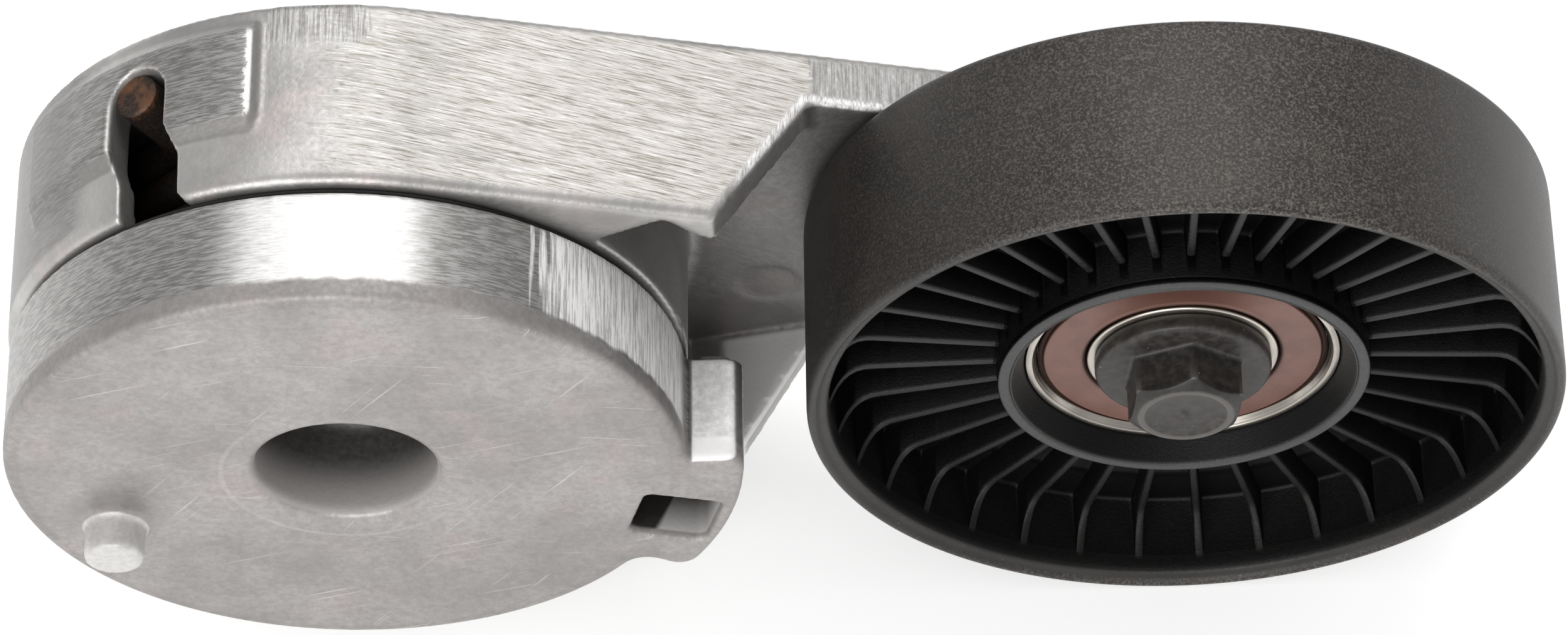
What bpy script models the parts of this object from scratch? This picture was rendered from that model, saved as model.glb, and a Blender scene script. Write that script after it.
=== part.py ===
"""Belt tensioner idler: a sprung arm on a fixed base, with a ribbed plastic pulley on a sealed ball bearing.

Lengths are in millimetres and are turned into metres when a mesh is made.
Y runs along the two parallel axes, away from the mounting face at y = 0.
X runs from the pivot axis to the pulley axis, and Z is up.
Turned shapes are lists of (radius, y), and flat outlines are lists of (x, z).
GAP is the clearance between two pieces, PAST is how far a cutting shape runs past the surface it
cuts, and SUNK is how far an added shape reaches into the body it joins.
"""

import math

import bmesh
import bpy

MM = 0.001
GAP = 0.3
PAST = 1.0
SUNK = 2.0
CENTRE_DISTANCE = 106.9

# The base casting and its post, which is swaged over the retaining plate.
BASE_RADIUS = 43.2
BASE_HEIGHT = 15.35
BASE_FLOOR = 4.5
BASE_CAVITY_RADIUS = 36.2
EDGE_ROUND = 1.4
ROUND_MIDDLE = 0.29
POST_RADIUS = 15.0
POST_TOP = 39.9
NECK_RADIUS = 9.0
NECK_TOP = 44.1
SWAGE_RADIUS = 11.2
SWAGE_TOP = 45.1
SWAGE_BEVEL = 0.8
BORE_MOUTH_RADIUS = 13.1
BORE_RADIUS = 11.6
BORE_LIP = 1.2
BORE_DEPTH = 19.0
BORE_TAPER = 3.0
BOLT_BORE_RADIUS = 5.5

# The stop ear, the tongue on it, the square drive hole in it, the locating pin and the spring's stop.
EAR_RADIUS = 50.6
EAR_FACE_Z = 0.5
EAR_END_ANGLE = -33.6
EAR_ROOT_FILLET = 1.2
EAR_CORNER_ROUND = 1.8
EAR_END_ROUND = 3.0
EAR_END_FILLET = 3.0
TONGUE_INNER_RADIUS = 44.4
TONGUE_OUTER_RADIUS = 49.4
TONGUE_START_ANGLE = -1.8
TONGUE_END_ANGLE = -33.6
TONGUE_TOP = 17.35
TONGUE_TAPER = 0.5
DRIVE_SQUARE = 10.0
DRIVE_CENTRE = (41.3, -14.1)
DRIVE_ANGLE = -16.0
DRIVE_DEPTH = 13.35
PIN_CENTRE = (-30.9, -11.6)
PIN_RADIUS = 3.9
PIN_LENGTH = 5.4
PIN_CHAMFER = 0.6
ABUTMENT_OFFSET = 6.0
ABUTMENT_SIZE = 5.0
ABUTMENT_LOW = 3.5
ABUTMENT_HIGH = 11.0

# The arm casting: a cup round the pivot, a pocket beside it, and a web that carries the pulley's boss.
ARM_CUP_RADIUS = 43.6
ARM_CAVITY_RADIUS = 39.2
ARM_END_RADIUS = 16.0
ARM_NEAR = 16.5
ARM_NEAR_BEVEL = 0.8
ARM_FAR = 42.4
ARM_FAR_ROUND = 1.6
ARM_CUP_FLOOR = 37.5
ARM_HUB_RADIUS = 21.5
ARM_HUB_BORE = 17.5
ARM_HUB_NEAR = 20.0
ARM_HUB_FAR = 40.0
WEB_NEAR = 35.0
SIDE_WALL = 4.9
SIDE_WALL_START_X = 50.0
BULGE_X = 46.0
BULGE_WALL = 3.9
POCKET_ANGLE = 36.0
POCKET_CORNER_RADIUS = 52.6
POCKET_END_X = 64.0
STOP_PAD_ANGLE = -34.05
STOP_PAD_RADIUS = 51.0
SLOPE_START_X = 48.3
SLOPE_END_X = 60.2
BOSS_NEAR = 26.0
BOSS_RADIUS = 11.9
BOSS_ROOT_RADIUS = 14.5
THREAD_RADIUS = 5.3

# The pieces between the base and the arm.
RETAINER_RADIUS = 24.2
RETAINER_RECESS_RADIUS = 25.2
RETAINER_NEAR = 41.6
RETAINER_FAR = 43.8
RETAINER_BEVEL = 0.5
THRUST_WASHER_RADIUS = 23.6
SEAL_INNER_RADIUS = 34.2
SEAL_OUTER_RADIUS = 42.3
SEAL_SKIRT_RADIUS = 38.8
SEAL_SKIRT_THICKNESS = 1.2
SEAL_SKIRT_TOP = 18.0
SPRING_SEAT_INNER = 26.6
SPRING_SEAT_OUTER = 33.6
SPRING_SEAT_SWEEP = 320.0
DAMPER_INNER = 34.0
DAMPER_OUTER = 35.8
DAMPER_TOP = 14.5
DAMPER_SWEEP = 335.0
SPLIT_OFFSET = 20.0

# The slot in the cup's wall for the spring's tang, and the raised pad round it.
SLOT_INNER = 36.0
SLOT_OUTER = 50.0
SLOT_ANGLE = 122.6
SLOT_WIDTH = 8.6
SLOT_MOUTH_ANGLE = 119.8
SLOT_MOUTH_WIDTH = 9.4
SLOT_STEP = 24.0
PAD_RADIUS = 44.9
PAD_ROOT_RADIUS = 42.0
PAD_START_ANGLE = 99.6
PAD_END_ANGLE = 150.0
PAD_NEAR = 25.0
PAD_BEVEL = 0.9
PAD_FAR = 40.2

# The spring. Its coil rises as its angle falls.
WIRE_RADIUS = 2.9
COIL_RADIUS = 30.5
COIL_TURNS = 4
COIL_STEPS_PER_TURN = 16
COIL_LOW = 9.5
COIL_HIGH = 34.2
TANG_ANGLE = 122.3
TANG_TIP_RADIUS = 42.8
TANG_BEND_RADIUS = 5.5

# The pulley. Its ribs stand back from the rim by the same distance on both faces.
PULLEY_RADIUS = 48.1
PULLEY_FRONT = 6.2
PULLEY_REAR = 33.0
RIM_ROUND = 1.0
RIM_FACE_RADIUS = 46.0
RIM_INNER_RADIUS = 45.3
RIM_STEP = 2.1
PULLEY_HUB_RADIUS = 23.8
HUB_FACE_WIDTH = 1.6
HUB_FRONT = 10.4
HUB_REAR = 27.9
WEB_THICKNESS = 3.2
RIB_COUNT = 35
RIB_THICKNESS = 1.0
RIB_PHASE = 6.64
RIB_RECESS = 5.6
RIB_SWEEP = ((40.0, 0.0), (42.9, 1.2), (44.7, 3.2))

# The ball bearing, 17 x 40 x 12, and the sleeve inside it.
BEARING_MIDDLE = 19.7
BEARING_HALF_WIDTH = 6.0
BEARING_OUTER_RADIUS = 20.0
BEARING_BORE_RADIUS = 8.5
INNER_SHOULDER_RADIUS = 12.1
PITCH_RADIUS = 14.25
BALL_RADIUS = 3.37
GROOVE_RADIUS = 3.6
GROOVE_DEPTHS = (0.0, 1.4, 2.4)
SEAL_STEP = 4.3
SEAL_STEP_RADIUS = 18.5
BEARING_LIP_RADIUS = 18.7
BEARING_CHAMFER = 0.5
BALL_COUNT = 8
CAGE_INNER_RADIUS = 13.4
CAGE_OUTER_RADIUS = 15.1
CAGE_FRONT = 4.2
CAGE_REAR = 2.4
BEARING_SEAL_RADIUS = 18.2
BEARING_SEAL_INSET = 0.4
BEARING_SEAL_THICKNESS = 0.9
SPACER_RADIUS = 8.2

# The pulley bolt.
FLANGE_FRONT = 11.5
FLANGE_REAR = 13.5
FLANGE_RADIUS = 11.1
FLANGE_TOP_RADIUS = 10.6
FLANGE_RISE = 0.2
BOLT_RADIUS = 5.0
BOLT_END = 41.8
BOLT_CHAMFER = 0.8
HEX_FRONT = 5.05
HEX_BEVEL = 1.0
HEX_ACROSS_FLATS = 13.6
HEX_TIP_RADIUS = 6.3
HEX_CORNER_ANGLE = 83.0

# Segment counts, and limits for merging points and smoothing edges.
BIG_ROUND = 48
MIDDLE_ROUND = 32
SMALL_ROUND = 28
TINY_ROUND = 20
BASE_ARC_STEPS = 42
CUP_ARC_STEPS = 38
SAME_POINT = 1e-5
SMOOTH_BELOW = 30.0

CAST_ALUMINIUM = ("cast_aluminium", (0.58, 0.57, 0.56), 1.0, 0.42)
BLACK_NYLON = ("black_glass_filled_nylon", (0.035, 0.034, 0.034), 0.0, 0.6)
BEARING_STEEL = ("bearing_steel", (0.68, 0.68, 0.69), 1.0, 0.22)
PLATED_STEEL = ("plated_steel", (0.56, 0.57, 0.58), 1.0, 0.35)
PHOSPHATE_STEEL = ("phosphate_steel", (0.09, 0.085, 0.08), 0.6, 0.55)
SPRING_STEEL = ("rusted_spring_steel", (0.30, 0.17, 0.10), 0.5, 0.6)
SEAL_RUBBER = ("brown_seal_rubber", (0.36, 0.13, 0.09), 0.0, 0.5)
BLACK_RUBBER = ("black_rubber", (0.02, 0.02, 0.02), 0.0, 0.7)
BUSHING_NYLON = ("bushing_nylon", (0.62, 0.58, 0.48), 0.0, 0.5)


def clear_scene():
    for obj in list(bpy.data.objects):
        bpy.data.objects.remove(obj, do_unlink=True)


def polar(radius, degrees, centre=(0.0, 0.0)):
    angle = math.radians(degrees)
    return (
        centre[0] + radius * math.cos(angle),
        centre[1] + radius * math.sin(angle),
    )


def arc(radius, start, end, steps, centre=(0.0, 0.0)):
    """Points from the start angle to the end angle, in degrees, both ends included."""
    return [
        polar(radius, start + (end - start) * i / steps, centre)
        for i in range(steps + 1)
    ]


def material(settings):
    name, colour, metallic, roughness = settings
    if name in bpy.data.materials:
        return bpy.data.materials[name]
    made = bpy.data.materials.new(name)
    made.use_nodes = True
    shader = made.node_tree.nodes["Principled BSDF"]
    shader.inputs["Base Color"].default_value = (*colour, 1.0)
    shader.inputs["Metallic"].default_value = metallic
    shader.inputs["Roughness"].default_value = roughness
    return made


def axis_empty(name, x, parent=None):
    empty = bpy.data.objects.new(name, None)
    empty.location = (x * MM, 0.0, 0.0)
    empty.parent = parent
    bpy.context.scene.collection.objects.link(empty)
    return empty


def place(bm, name, settings, parent=None):
    """Turns a shape in millimetres into an object in metres."""
    bmesh.ops.remove_doubles(bm, verts=bm.verts, dist=SAME_POINT)
    bmesh.ops.recalc_face_normals(bm, faces=bm.faces)
    bmesh.ops.scale(bm, vec=(MM, MM, MM), verts=bm.verts)
    mesh = bpy.data.meshes.new(name)
    bm.to_mesh(mesh)
    bm.free()
    mesh.shade_smooth()
    mesh.set_sharp_from_angle(angle=math.radians(SMOOTH_BELOW))
    mesh.materials.append(material(settings))
    obj = bpy.data.objects.new(name, mesh)
    obj.parent = parent
    bpy.context.scene.collection.objects.link(obj)
    return obj


def combine(target, bm, operation):
    """Cuts a shape from an object, or adds it, with a Boolean whose tool stays hidden."""
    tool = place(bm, f"tool_{operation.lower()}_{len(target.modifiers)}_{target.name}", CAST_ALUMINIUM)
    tool.parent = target.parent
    tool.hide_render = True
    tool.display_type = "WIRE"
    modifier = target.modifiers.new(tool.name, "BOOLEAN")
    modifier.operation = operation
    modifier.solver = "EXACT"
    modifier.object = tool


def turned(profile, segments, start=0.0, sweep=360.0):
    """A (radius, y) profile spun about Y. One with both ends on the axis is not closed along it."""
    bm = bmesh.new()
    whole = sweep == 360.0
    points = [polar(radius, start) for radius, _ in profile]
    verts = [bm.verts.new((x, y, z)) for (x, z), (_, y) in zip(points, profile)]
    edges = [bm.edges.new(pair) for pair in zip(verts, verts[1:])]
    on_axis = profile[0][0] == 0.0 and profile[-1][0] == 0.0
    if not on_axis:
        edges.append(bm.edges.new((verts[-1], verts[0])))
    spun = bmesh.ops.spin(
        bm,
        geom=verts + edges,
        cent=(0.0, 0.0, 0.0),
        axis=(0.0, -1.0, 0.0),
        angle=math.radians(sweep),
        steps=segments,
        use_merge=whole,
    )
    if not whole:
        last = [item for item in spun["geom_last"] if isinstance(item, bmesh.types.BMEdge)]
        bmesh.ops.contextual_create(bm, geom=edges)
        bmesh.ops.contextual_create(bm, geom=last)
    return bm


def loft(sections):
    """Joins outlines of equal length, each a list of (x, y, z), and caps both ends."""
    bm = bmesh.new()
    rings = [[bm.verts.new(point) for point in section] for section in sections]
    for low, high in zip(rings, rings[1:]):
        for i in range(len(low)):
            j = (i + 1) % len(low)
            bm.faces.new((low[i], low[j], high[j], high[i]))
    bm.faces.new(rings[0])
    bm.faces.new(rings[-1])
    return bm


def prism(outline, low, high):
    """An (x, z) outline from y = low to y = high."""
    return loft([[(x, y, z) for x, z in outline] for y in (low, high)])


def side_prism(outline, low, high):
    """An (x, y) outline from z = low to z = high."""
    return loft([[(x, y, z) for x, y in outline] for z in (low, high)])


def radial_box(angle, inner, outer, width, low, high):
    """A box that runs outwards from the pivot axis at an angle."""
    half = width / 2
    return prism(
        [
            turn((inner, -half), angle),
            turn((outer, -half), angle),
            turn((outer, half), angle),
            turn((inner, half), angle),
        ],
        low,
        high,
    )


def turn(point, degrees, centre=(0.0, 0.0)):
    angle = math.radians(degrees)
    x, z = point
    return (
        centre[0] + x * math.cos(angle) - z * math.sin(angle),
        centre[1] + x * math.sin(angle) + z * math.cos(angle),
    )


def ring_sector(inner, outer, start, end, steps, inset=0.0):
    """The outline of a curved block between two radii and two angles, drawn in by inset."""
    middle = (inner + outer) / 2
    trim = math.degrees(inset / middle)
    outside = arc(outer - inset, start - trim, end + trim, steps)
    inside = arc(inner + inset, end + trim, start - trim, steps)
    return outside + inside


def base_outline(inset):
    """The round base with its ear, drawn in by inset. It runs clockwise, in falling angle."""
    base = BASE_RADIUS - inset
    ear = EAR_RADIUS - inset
    face_z = EAR_FACE_Z - inset
    root = EAR_ROOT_FILLET + inset
    root_z = face_z + root
    root_angle = math.degrees(math.asin(root_z / (base + root)))
    corner = EAR_CORNER_ROUND - inset
    corner_z = face_z - corner
    corner_angle = math.degrees(math.asin(corner_z / (ear - corner)))
    end = EAR_END_ROUND - inset
    end_angle = EAR_END_ANGLE + math.degrees(math.asin(EAR_END_ROUND / (ear - end)))
    fillet = EAR_END_FILLET + inset
    fillet_angle = EAR_END_ANGLE - math.degrees(math.asin(EAR_END_FILLET / (base + fillet)))
    around = arc(base, fillet_angle, root_angle - 360.0, BASE_ARC_STEPS)
    root_arc = arc(root, root_angle + 180.0, 270.0, 2, polar(base + root, root_angle))
    corner_arc = arc(corner, 90.0, corner_angle, 2, polar(ear - corner, corner_angle))
    ear_arc = arc(ear, corner_angle, end_angle, 6)
    end_arc = arc(end, end_angle, EAR_END_ANGLE - 90.0, 3, polar(ear - end, end_angle))
    fillet_arc = arc(fillet, EAR_END_ANGLE + 90.0, fillet_angle + 180.0, 3, polar(base + fillet, fillet_angle))
    return around + root_arc[1:] + corner_arc + ear_arc[1:] + end_arc[1:] + fillet_arc[:-1]


def arm_outline(inset):
    """The taut outline round the cup and the pulley end, drawn in by inset."""
    cup = ARM_CUP_RADIUS - inset
    end = ARM_END_RADIUS - inset
    tangent = wall_angle()
    around = arc(cup, tangent, 360.0 - tangent, CUP_ARC_STEPS)
    return around + arc(end, -tangent, tangent, 12, (CENTRE_DISTANCE, 0.0))


def wall_angle():
    """The direction, from +X, in which the upper side wall faces."""
    return math.degrees(math.acos((ARM_CUP_RADIUS - ARM_END_RADIUS) / CENTRE_DISTANCE))


def wall_z(x, depth):
    """The height at x of the plane that lies depth inside the upper side wall's outer face."""
    normal_x, normal_z = polar(1.0, wall_angle())
    return (ARM_CUP_RADIUS - depth - normal_x * x) / normal_z


def base_housing():
    part_round = EDGE_ROUND * ROUND_MIDDLE
    stations = [(0.0, EDGE_ROUND), (part_round, part_round), (EDGE_ROUND, 0.0), (BASE_HEIGHT, 0.0)]
    sections = [[(x, y, z) for x, z in base_outline(inset)] for y, inset in stations]
    base = place(loft(sections), "base_housing", CAST_ALUMINIUM)
    cavity = [
        (POST_RADIUS, BASE_FLOOR),
        (BASE_CAVITY_RADIUS, BASE_FLOOR),
        (BASE_CAVITY_RADIUS, BASE_HEIGHT + PAST),
        (POST_RADIUS, BASE_HEIGHT + PAST),
    ]
    combine(base, turned(cavity, BIG_ROUND), "DIFFERENCE")
    post = [
        (0.0, BASE_FLOOR - SUNK),
        (POST_RADIUS, BASE_FLOOR - SUNK),
        (POST_RADIUS, POST_TOP),
        (NECK_RADIUS, POST_TOP),
        (NECK_RADIUS, NECK_TOP),
        (SWAGE_RADIUS, NECK_TOP),
        (SWAGE_RADIUS - SWAGE_BEVEL, SWAGE_TOP),
        (0.0, SWAGE_TOP),
    ]
    combine(base, turned(post, MIDDLE_ROUND), "UNION")
    pin_x, pin_z = PIN_CENTRE
    pin = turned(
        [
            (0.0, SUNK),
            (PIN_RADIUS, SUNK),
            (PIN_RADIUS, PIN_CHAMFER - PIN_LENGTH),
            (PIN_RADIUS - PIN_CHAMFER, -PIN_LENGTH),
            (0.0, -PIN_LENGTH),
        ],
        TINY_ROUND,
    )
    bmesh.ops.translate(pin, vec=(pin_x, 0.0, pin_z), verts=pin.verts)
    combine(base, pin, "UNION")
    tongue_span = (TONGUE_INNER_RADIUS, TONGUE_OUTER_RADIUS, TONGUE_START_ANGLE, TONGUE_END_ANGLE, 6)
    tongue = []
    for y, inset in ((BASE_HEIGHT - SUNK, 0.0), (BASE_HEIGHT, 0.0), (TONGUE_TOP, TONGUE_TAPER)):
        tongue.append([(x, y, z) for x, z in ring_sector(*tongue_span, inset)])
    combine(base, loft(tongue), "UNION")
    abutment = radial_box(
        spring_start_angle() + ABUTMENT_OFFSET,
        COIL_RADIUS - ABUTMENT_SIZE / 2,
        COIL_RADIUS + ABUTMENT_SIZE / 2,
        ABUTMENT_SIZE,
        ABUTMENT_LOW,
        ABUTMENT_HIGH,
    )
    combine(base, abutment, "UNION")
    bore = [
        (0.0, -PAST),
        (BORE_MOUTH_RADIUS, -PAST),
        (BORE_MOUTH_RADIUS, 0.1),
        (BORE_RADIUS, BORE_LIP),
        (BORE_RADIUS, BORE_DEPTH),
        (BOLT_BORE_RADIUS, BORE_DEPTH + BORE_TAPER),
        (BOLT_BORE_RADIUS, SWAGE_TOP + PAST),
        (0.0, SWAGE_TOP + PAST),
    ]
    combine(base, turned(bore, MIDDLE_ROUND), "DIFFERENCE")
    half = DRIVE_SQUARE / 2
    corners = ((-half, -half), (half, -half), (half, half), (-half, half))
    square = [turn(corner, DRIVE_ANGLE, DRIVE_CENTRE) for corner in corners]
    combine(base, prism(square, -PAST, DRIVE_DEPTH), "DIFFERENCE")


def pocket_outline():
    """The open space of the arm between the cup's wall and the two side walls."""
    wall_start_z = wall_z(SIDE_WALL_START_X, SIDE_WALL)
    wall_end_z = wall_z(POCKET_END_X, SIDE_WALL)
    upper = [
        polar(POCKET_CORNER_RADIUS, POCKET_ANGLE),
        (BULGE_X, wall_z(BULGE_X, BULGE_WALL)),
        (SIDE_WALL_START_X, wall_start_z),
        (POCKET_END_X, wall_end_z),
    ]
    lower = [
        (POCKET_END_X, -wall_end_z),
        (SIDE_WALL_START_X, -wall_start_z),
        polar(STOP_PAD_RADIUS, STOP_PAD_ANGLE),
    ]
    return upper + lower + arc(ARM_CUP_RADIUS, STOP_PAD_ANGLE, POCKET_ANGLE, 8)


def tensioner_arm(parent):
    part_round = ARM_FAR_ROUND * ROUND_MIDDLE
    stations = [
        (ARM_NEAR, ARM_NEAR_BEVEL),
        (ARM_NEAR + ARM_NEAR_BEVEL, 0.0),
        (ARM_FAR - ARM_FAR_ROUND, 0.0),
        (ARM_FAR - part_round, part_round),
        (ARM_FAR, ARM_FAR_ROUND),
    ]
    sections = [[(x, y, z) for x, z in arm_outline(inset)] for y, inset in stations]
    arm = place(loft(sections), "tensioner_arm", CAST_ALUMINIUM, parent)
    combine(arm, prism(pocket_outline(), ARM_NEAR - PAST, WEB_NEAR), "DIFFERENCE")
    last_x = CENTRE_DISTANCE + ARM_END_RADIUS + PAST
    sloped_end = [
        (SLOPE_START_X, ARM_NEAR - PAST),
        (SLOPE_START_X, ARM_NEAR),
        (SLOPE_END_X, WEB_NEAR),
        (last_x, WEB_NEAR),
        (last_x, ARM_NEAR - PAST),
    ]
    across = ARM_CUP_RADIUS + PAST
    combine(arm, side_prism(sloped_end, -across, across), "DIFFERENCE")
    boss = turned(
        [
            (0.0, BOSS_NEAR),
            (BOSS_RADIUS, BOSS_NEAR),
            (BOSS_ROOT_RADIUS, WEB_NEAR),
            (BOSS_ROOT_RADIUS, WEB_NEAR + SUNK),
            (0.0, WEB_NEAR + SUNK),
        ],
        SMALL_ROUND,
    )
    bmesh.ops.translate(boss, vec=(CENTRE_DISTANCE, 0.0, 0.0), verts=boss.verts)
    combine(arm, boss, "UNION")
    pad = []
    for y, radius in ((PAD_NEAR, ARM_CUP_RADIUS), (PAD_NEAR + PAD_BEVEL, PAD_RADIUS), (PAD_FAR, PAD_RADIUS)):
        outline = ring_sector(PAD_ROOT_RADIUS, radius, PAD_END_ANGLE, PAD_START_ANGLE, 7)
        pad.append([(x, y, z) for x, z in outline])
    combine(arm, loft(pad), "UNION")
    cavity = [
        (0.0, ARM_NEAR - PAST),
        (ARM_CAVITY_RADIUS, ARM_NEAR - PAST),
        (ARM_CAVITY_RADIUS, ARM_CUP_FLOOR),
        (ARM_HUB_RADIUS, ARM_CUP_FLOOR),
        (ARM_HUB_RADIUS, ARM_HUB_NEAR),
        (ARM_HUB_BORE, ARM_HUB_NEAR),
        (ARM_HUB_BORE, ARM_HUB_FAR),
        (RETAINER_RECESS_RADIUS, ARM_HUB_FAR),
        (RETAINER_RECESS_RADIUS, ARM_FAR + PAST),
        (0.0, ARM_FAR + PAST),
    ]
    combine(arm, turned(cavity, BIG_ROUND), "DIFFERENCE")
    slot = radial_box(SLOT_ANGLE, SLOT_INNER, SLOT_OUTER, SLOT_WIDTH, SLOT_STEP, ARM_CUP_FLOOR)
    combine(arm, slot, "DIFFERENCE")
    low, high = ARM_NEAR - PAST, SLOT_STEP + 0.1
    mouth = radial_box(SLOT_MOUTH_ANGLE, SLOT_INNER, SLOT_OUTER, SLOT_MOUTH_WIDTH, low, high)
    combine(arm, mouth, "DIFFERENCE")
    thread = turned(
        [
            (0.0, BOSS_NEAR - PAST),
            (THREAD_RADIUS, BOSS_NEAR - PAST),
            (THREAD_RADIUS, ARM_FAR + PAST),
            (0.0, ARM_FAR + PAST),
        ],
        TINY_ROUND,
    )
    bmesh.ops.translate(thread, vec=(CENTRE_DISTANCE, 0.0, 0.0), verts=thread.verts)
    combine(arm, thread, "DIFFERENCE")


def washers_and_bushings(arm_axis):
    hole = NECK_RADIUS + GAP
    plate = [
        (hole, RETAINER_NEAR),
        (RETAINER_RADIUS - RETAINER_BEVEL, RETAINER_NEAR),
        (RETAINER_RADIUS, RETAINER_NEAR + RETAINER_BEVEL),
        (RETAINER_RADIUS, RETAINER_FAR - RETAINER_BEVEL),
        (RETAINER_RADIUS - RETAINER_BEVEL, RETAINER_FAR),
        (hole, RETAINER_FAR),
    ]
    place(turned(plate, MIDDLE_ROUND), "retaining_plate", PLATED_STEEL)
    ring("thrust_washer", hole, THRUST_WASHER_RADIUS, ARM_HUB_FAR + GAP, RETAINER_NEAR - GAP, BUSHING_NYLON)
    bushing_inner, bushing_outer = POST_RADIUS + GAP, ARM_HUB_BORE - GAP
    ring("pivot_bushing", bushing_inner, bushing_outer, ARM_HUB_NEAR, POST_TOP - 0.1, BUSHING_NYLON, arm_axis)
    lip_low, lip_high = BASE_HEIGHT + GAP, ARM_NEAR - GAP
    skirt_inner = SEAL_SKIRT_RADIUS - SEAL_SKIRT_THICKNESS
    seal = [
        (SEAL_INNER_RADIUS, lip_low),
        (SEAL_OUTER_RADIUS, lip_low),
        (SEAL_OUTER_RADIUS, lip_high),
        (SEAL_SKIRT_RADIUS, lip_high),
        (SEAL_SKIRT_RADIUS, SEAL_SKIRT_TOP),
        (skirt_inner, SEAL_SKIRT_TOP),
        (skirt_inner, lip_high),
        (SEAL_INNER_RADIUS, lip_high),
    ]
    place(turned(seal, MIDDLE_ROUND), "dust_seal_ring", BLACK_RUBBER)
    seat_low = BASE_FLOOR + GAP
    seat_high = COIL_LOW - WIRE_RADIUS - GAP
    seat = [
        (SPRING_SEAT_INNER, seat_low),
        (SPRING_SEAT_OUTER, seat_low),
        (SPRING_SEAT_OUTER, seat_high),
        (SPRING_SEAT_INNER, seat_high),
    ]
    split = spring_start_angle() + SPLIT_OFFSET
    place(turned(seat, SMALL_ROUND, split, SPRING_SEAT_SWEEP), "spring_seat", BUSHING_NYLON)
    damper = [
        (DAMPER_INNER, seat_low),
        (DAMPER_OUTER, seat_low),
        (DAMPER_OUTER, DAMPER_TOP),
        (DAMPER_INNER, DAMPER_TOP),
    ]
    place(turned(damper, SMALL_ROUND, split, DAMPER_SWEEP), "damping_bushing", BLACK_NYLON)


def ring(name, inner, outer, low, high, settings, parent=None, segments=MIDDLE_ROUND):
    profile = [(inner, low), (outer, low), (outer, high), (inner, high)]
    return place(turned(profile, segments), name, settings, parent)


def spring_start_angle():
    """The angle at which the coil bends into its tang. The coil's lower end, whole turns away, has it too."""
    return TANG_ANGLE + math.degrees(math.asin(TANG_BEND_RADIUS / TANG_TIP_RADIUS))


def torsion_spring():
    """A round-wire coil whose upper end turns outwards into the arm's slot."""
    bend_start = spring_start_angle()
    steps = COIL_STEPS_PER_TURN * COIL_TURNS
    path = []
    for i in range(steps + 1):
        share = i / steps
        x, z = polar(COIL_RADIUS, bend_start + 360.0 * COIL_TURNS * (1.0 - share))
        path.append((x, COIL_LOW + (COIL_HIGH - COIL_LOW) * share, z))
    bend_centre = polar(COIL_RADIUS + TANG_BEND_RADIUS, bend_start)
    for bend in (30.0, 60.0, 90.0):
        x, z = polar(TANG_BEND_RADIUS, bend_start + 180.0 + bend, bend_centre)
        path.append((x, COIL_HIGH, z))
    tip_x, tip_z = polar(TANG_TIP_RADIUS, TANG_ANGLE)
    path.append((tip_x, COIL_HIGH, tip_z))
    curve = bpy.data.curves.new("torsion_spring", "CURVE")
    curve.dimensions = "3D"
    curve.bevel_depth = WIRE_RADIUS * MM
    curve.bevel_resolution = 2
    curve.use_fill_caps = True
    spline = curve.splines.new("POLY")
    spline.points.add(len(path) - 1)
    for point, (x, y, z) in zip(spline.points, path):
        point.co = (x * MM, y * MM, z * MM, 1.0)
    curve.materials.append(material(SPRING_STEEL))
    spring = bpy.data.objects.new("torsion_spring", curve)
    bpy.context.scene.collection.objects.link(spring)


def pulley_profile():
    """The closed section between two ribs. Ribs stand between the four pairs of marked corners."""
    middle = (PULLEY_FRONT + PULLEY_REAR) / 2
    web = WEB_THICKNESS / 2
    rib_low, rib_high = middle - RIB_RECESS, middle + RIB_RECESS
    front_end, rear_end = PULLEY_FRONT + RIM_STEP, PULLEY_REAR - RIM_STEP
    bore = BEARING_OUTER_RADIUS + GAP
    bore_half = BEARING_HALF_WIDTH + 0.4
    hub_face = PULLEY_HUB_RADIUS - 0.2
    return {
        "rim": [
            (RIM_FACE_RADIUS, PULLEY_FRONT),
            (PULLEY_RADIUS - RIM_ROUND, PULLEY_FRONT),
            (PULLEY_RADIUS, PULLEY_FRONT + RIM_ROUND),
            (PULLEY_RADIUS, PULLEY_REAR - RIM_ROUND),
            (PULLEY_RADIUS - RIM_ROUND, PULLEY_REAR),
            (RIM_FACE_RADIUS, PULLEY_REAR),
        ],
        "rear": [
            (RIM_INNER_RADIUS, rear_end),
            (RIM_INNER_RADIUS, middle + web),
            (PULLEY_HUB_RADIUS, middle + web),
            (PULLEY_HUB_RADIUS, rib_high),
        ],
        "hub": [
            (hub_face, HUB_REAR),
            (hub_face - HUB_FACE_WIDTH, HUB_REAR),
            (bore, BEARING_MIDDLE + bore_half),
            (bore, BEARING_MIDDLE - bore_half),
            (hub_face - HUB_FACE_WIDTH, HUB_FRONT),
            (hub_face, HUB_FRONT),
        ],
        "front": [
            (PULLEY_HUB_RADIUS, rib_low),
            (PULLEY_HUB_RADIUS, middle - web),
            (RIM_INNER_RADIUS, middle - web),
            (RIM_INNER_RADIUS, front_end),
        ],
    }


def rib_edge(side):
    """The free edge of a rib, between its ends: flat, then sweeping out along the rim."""
    middle = (PULLEY_FRONT + PULLEY_REAR) / 2
    return [(radius, middle + side * (RIB_RECESS + rise)) for radius, rise in RIB_SWEEP]


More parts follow.
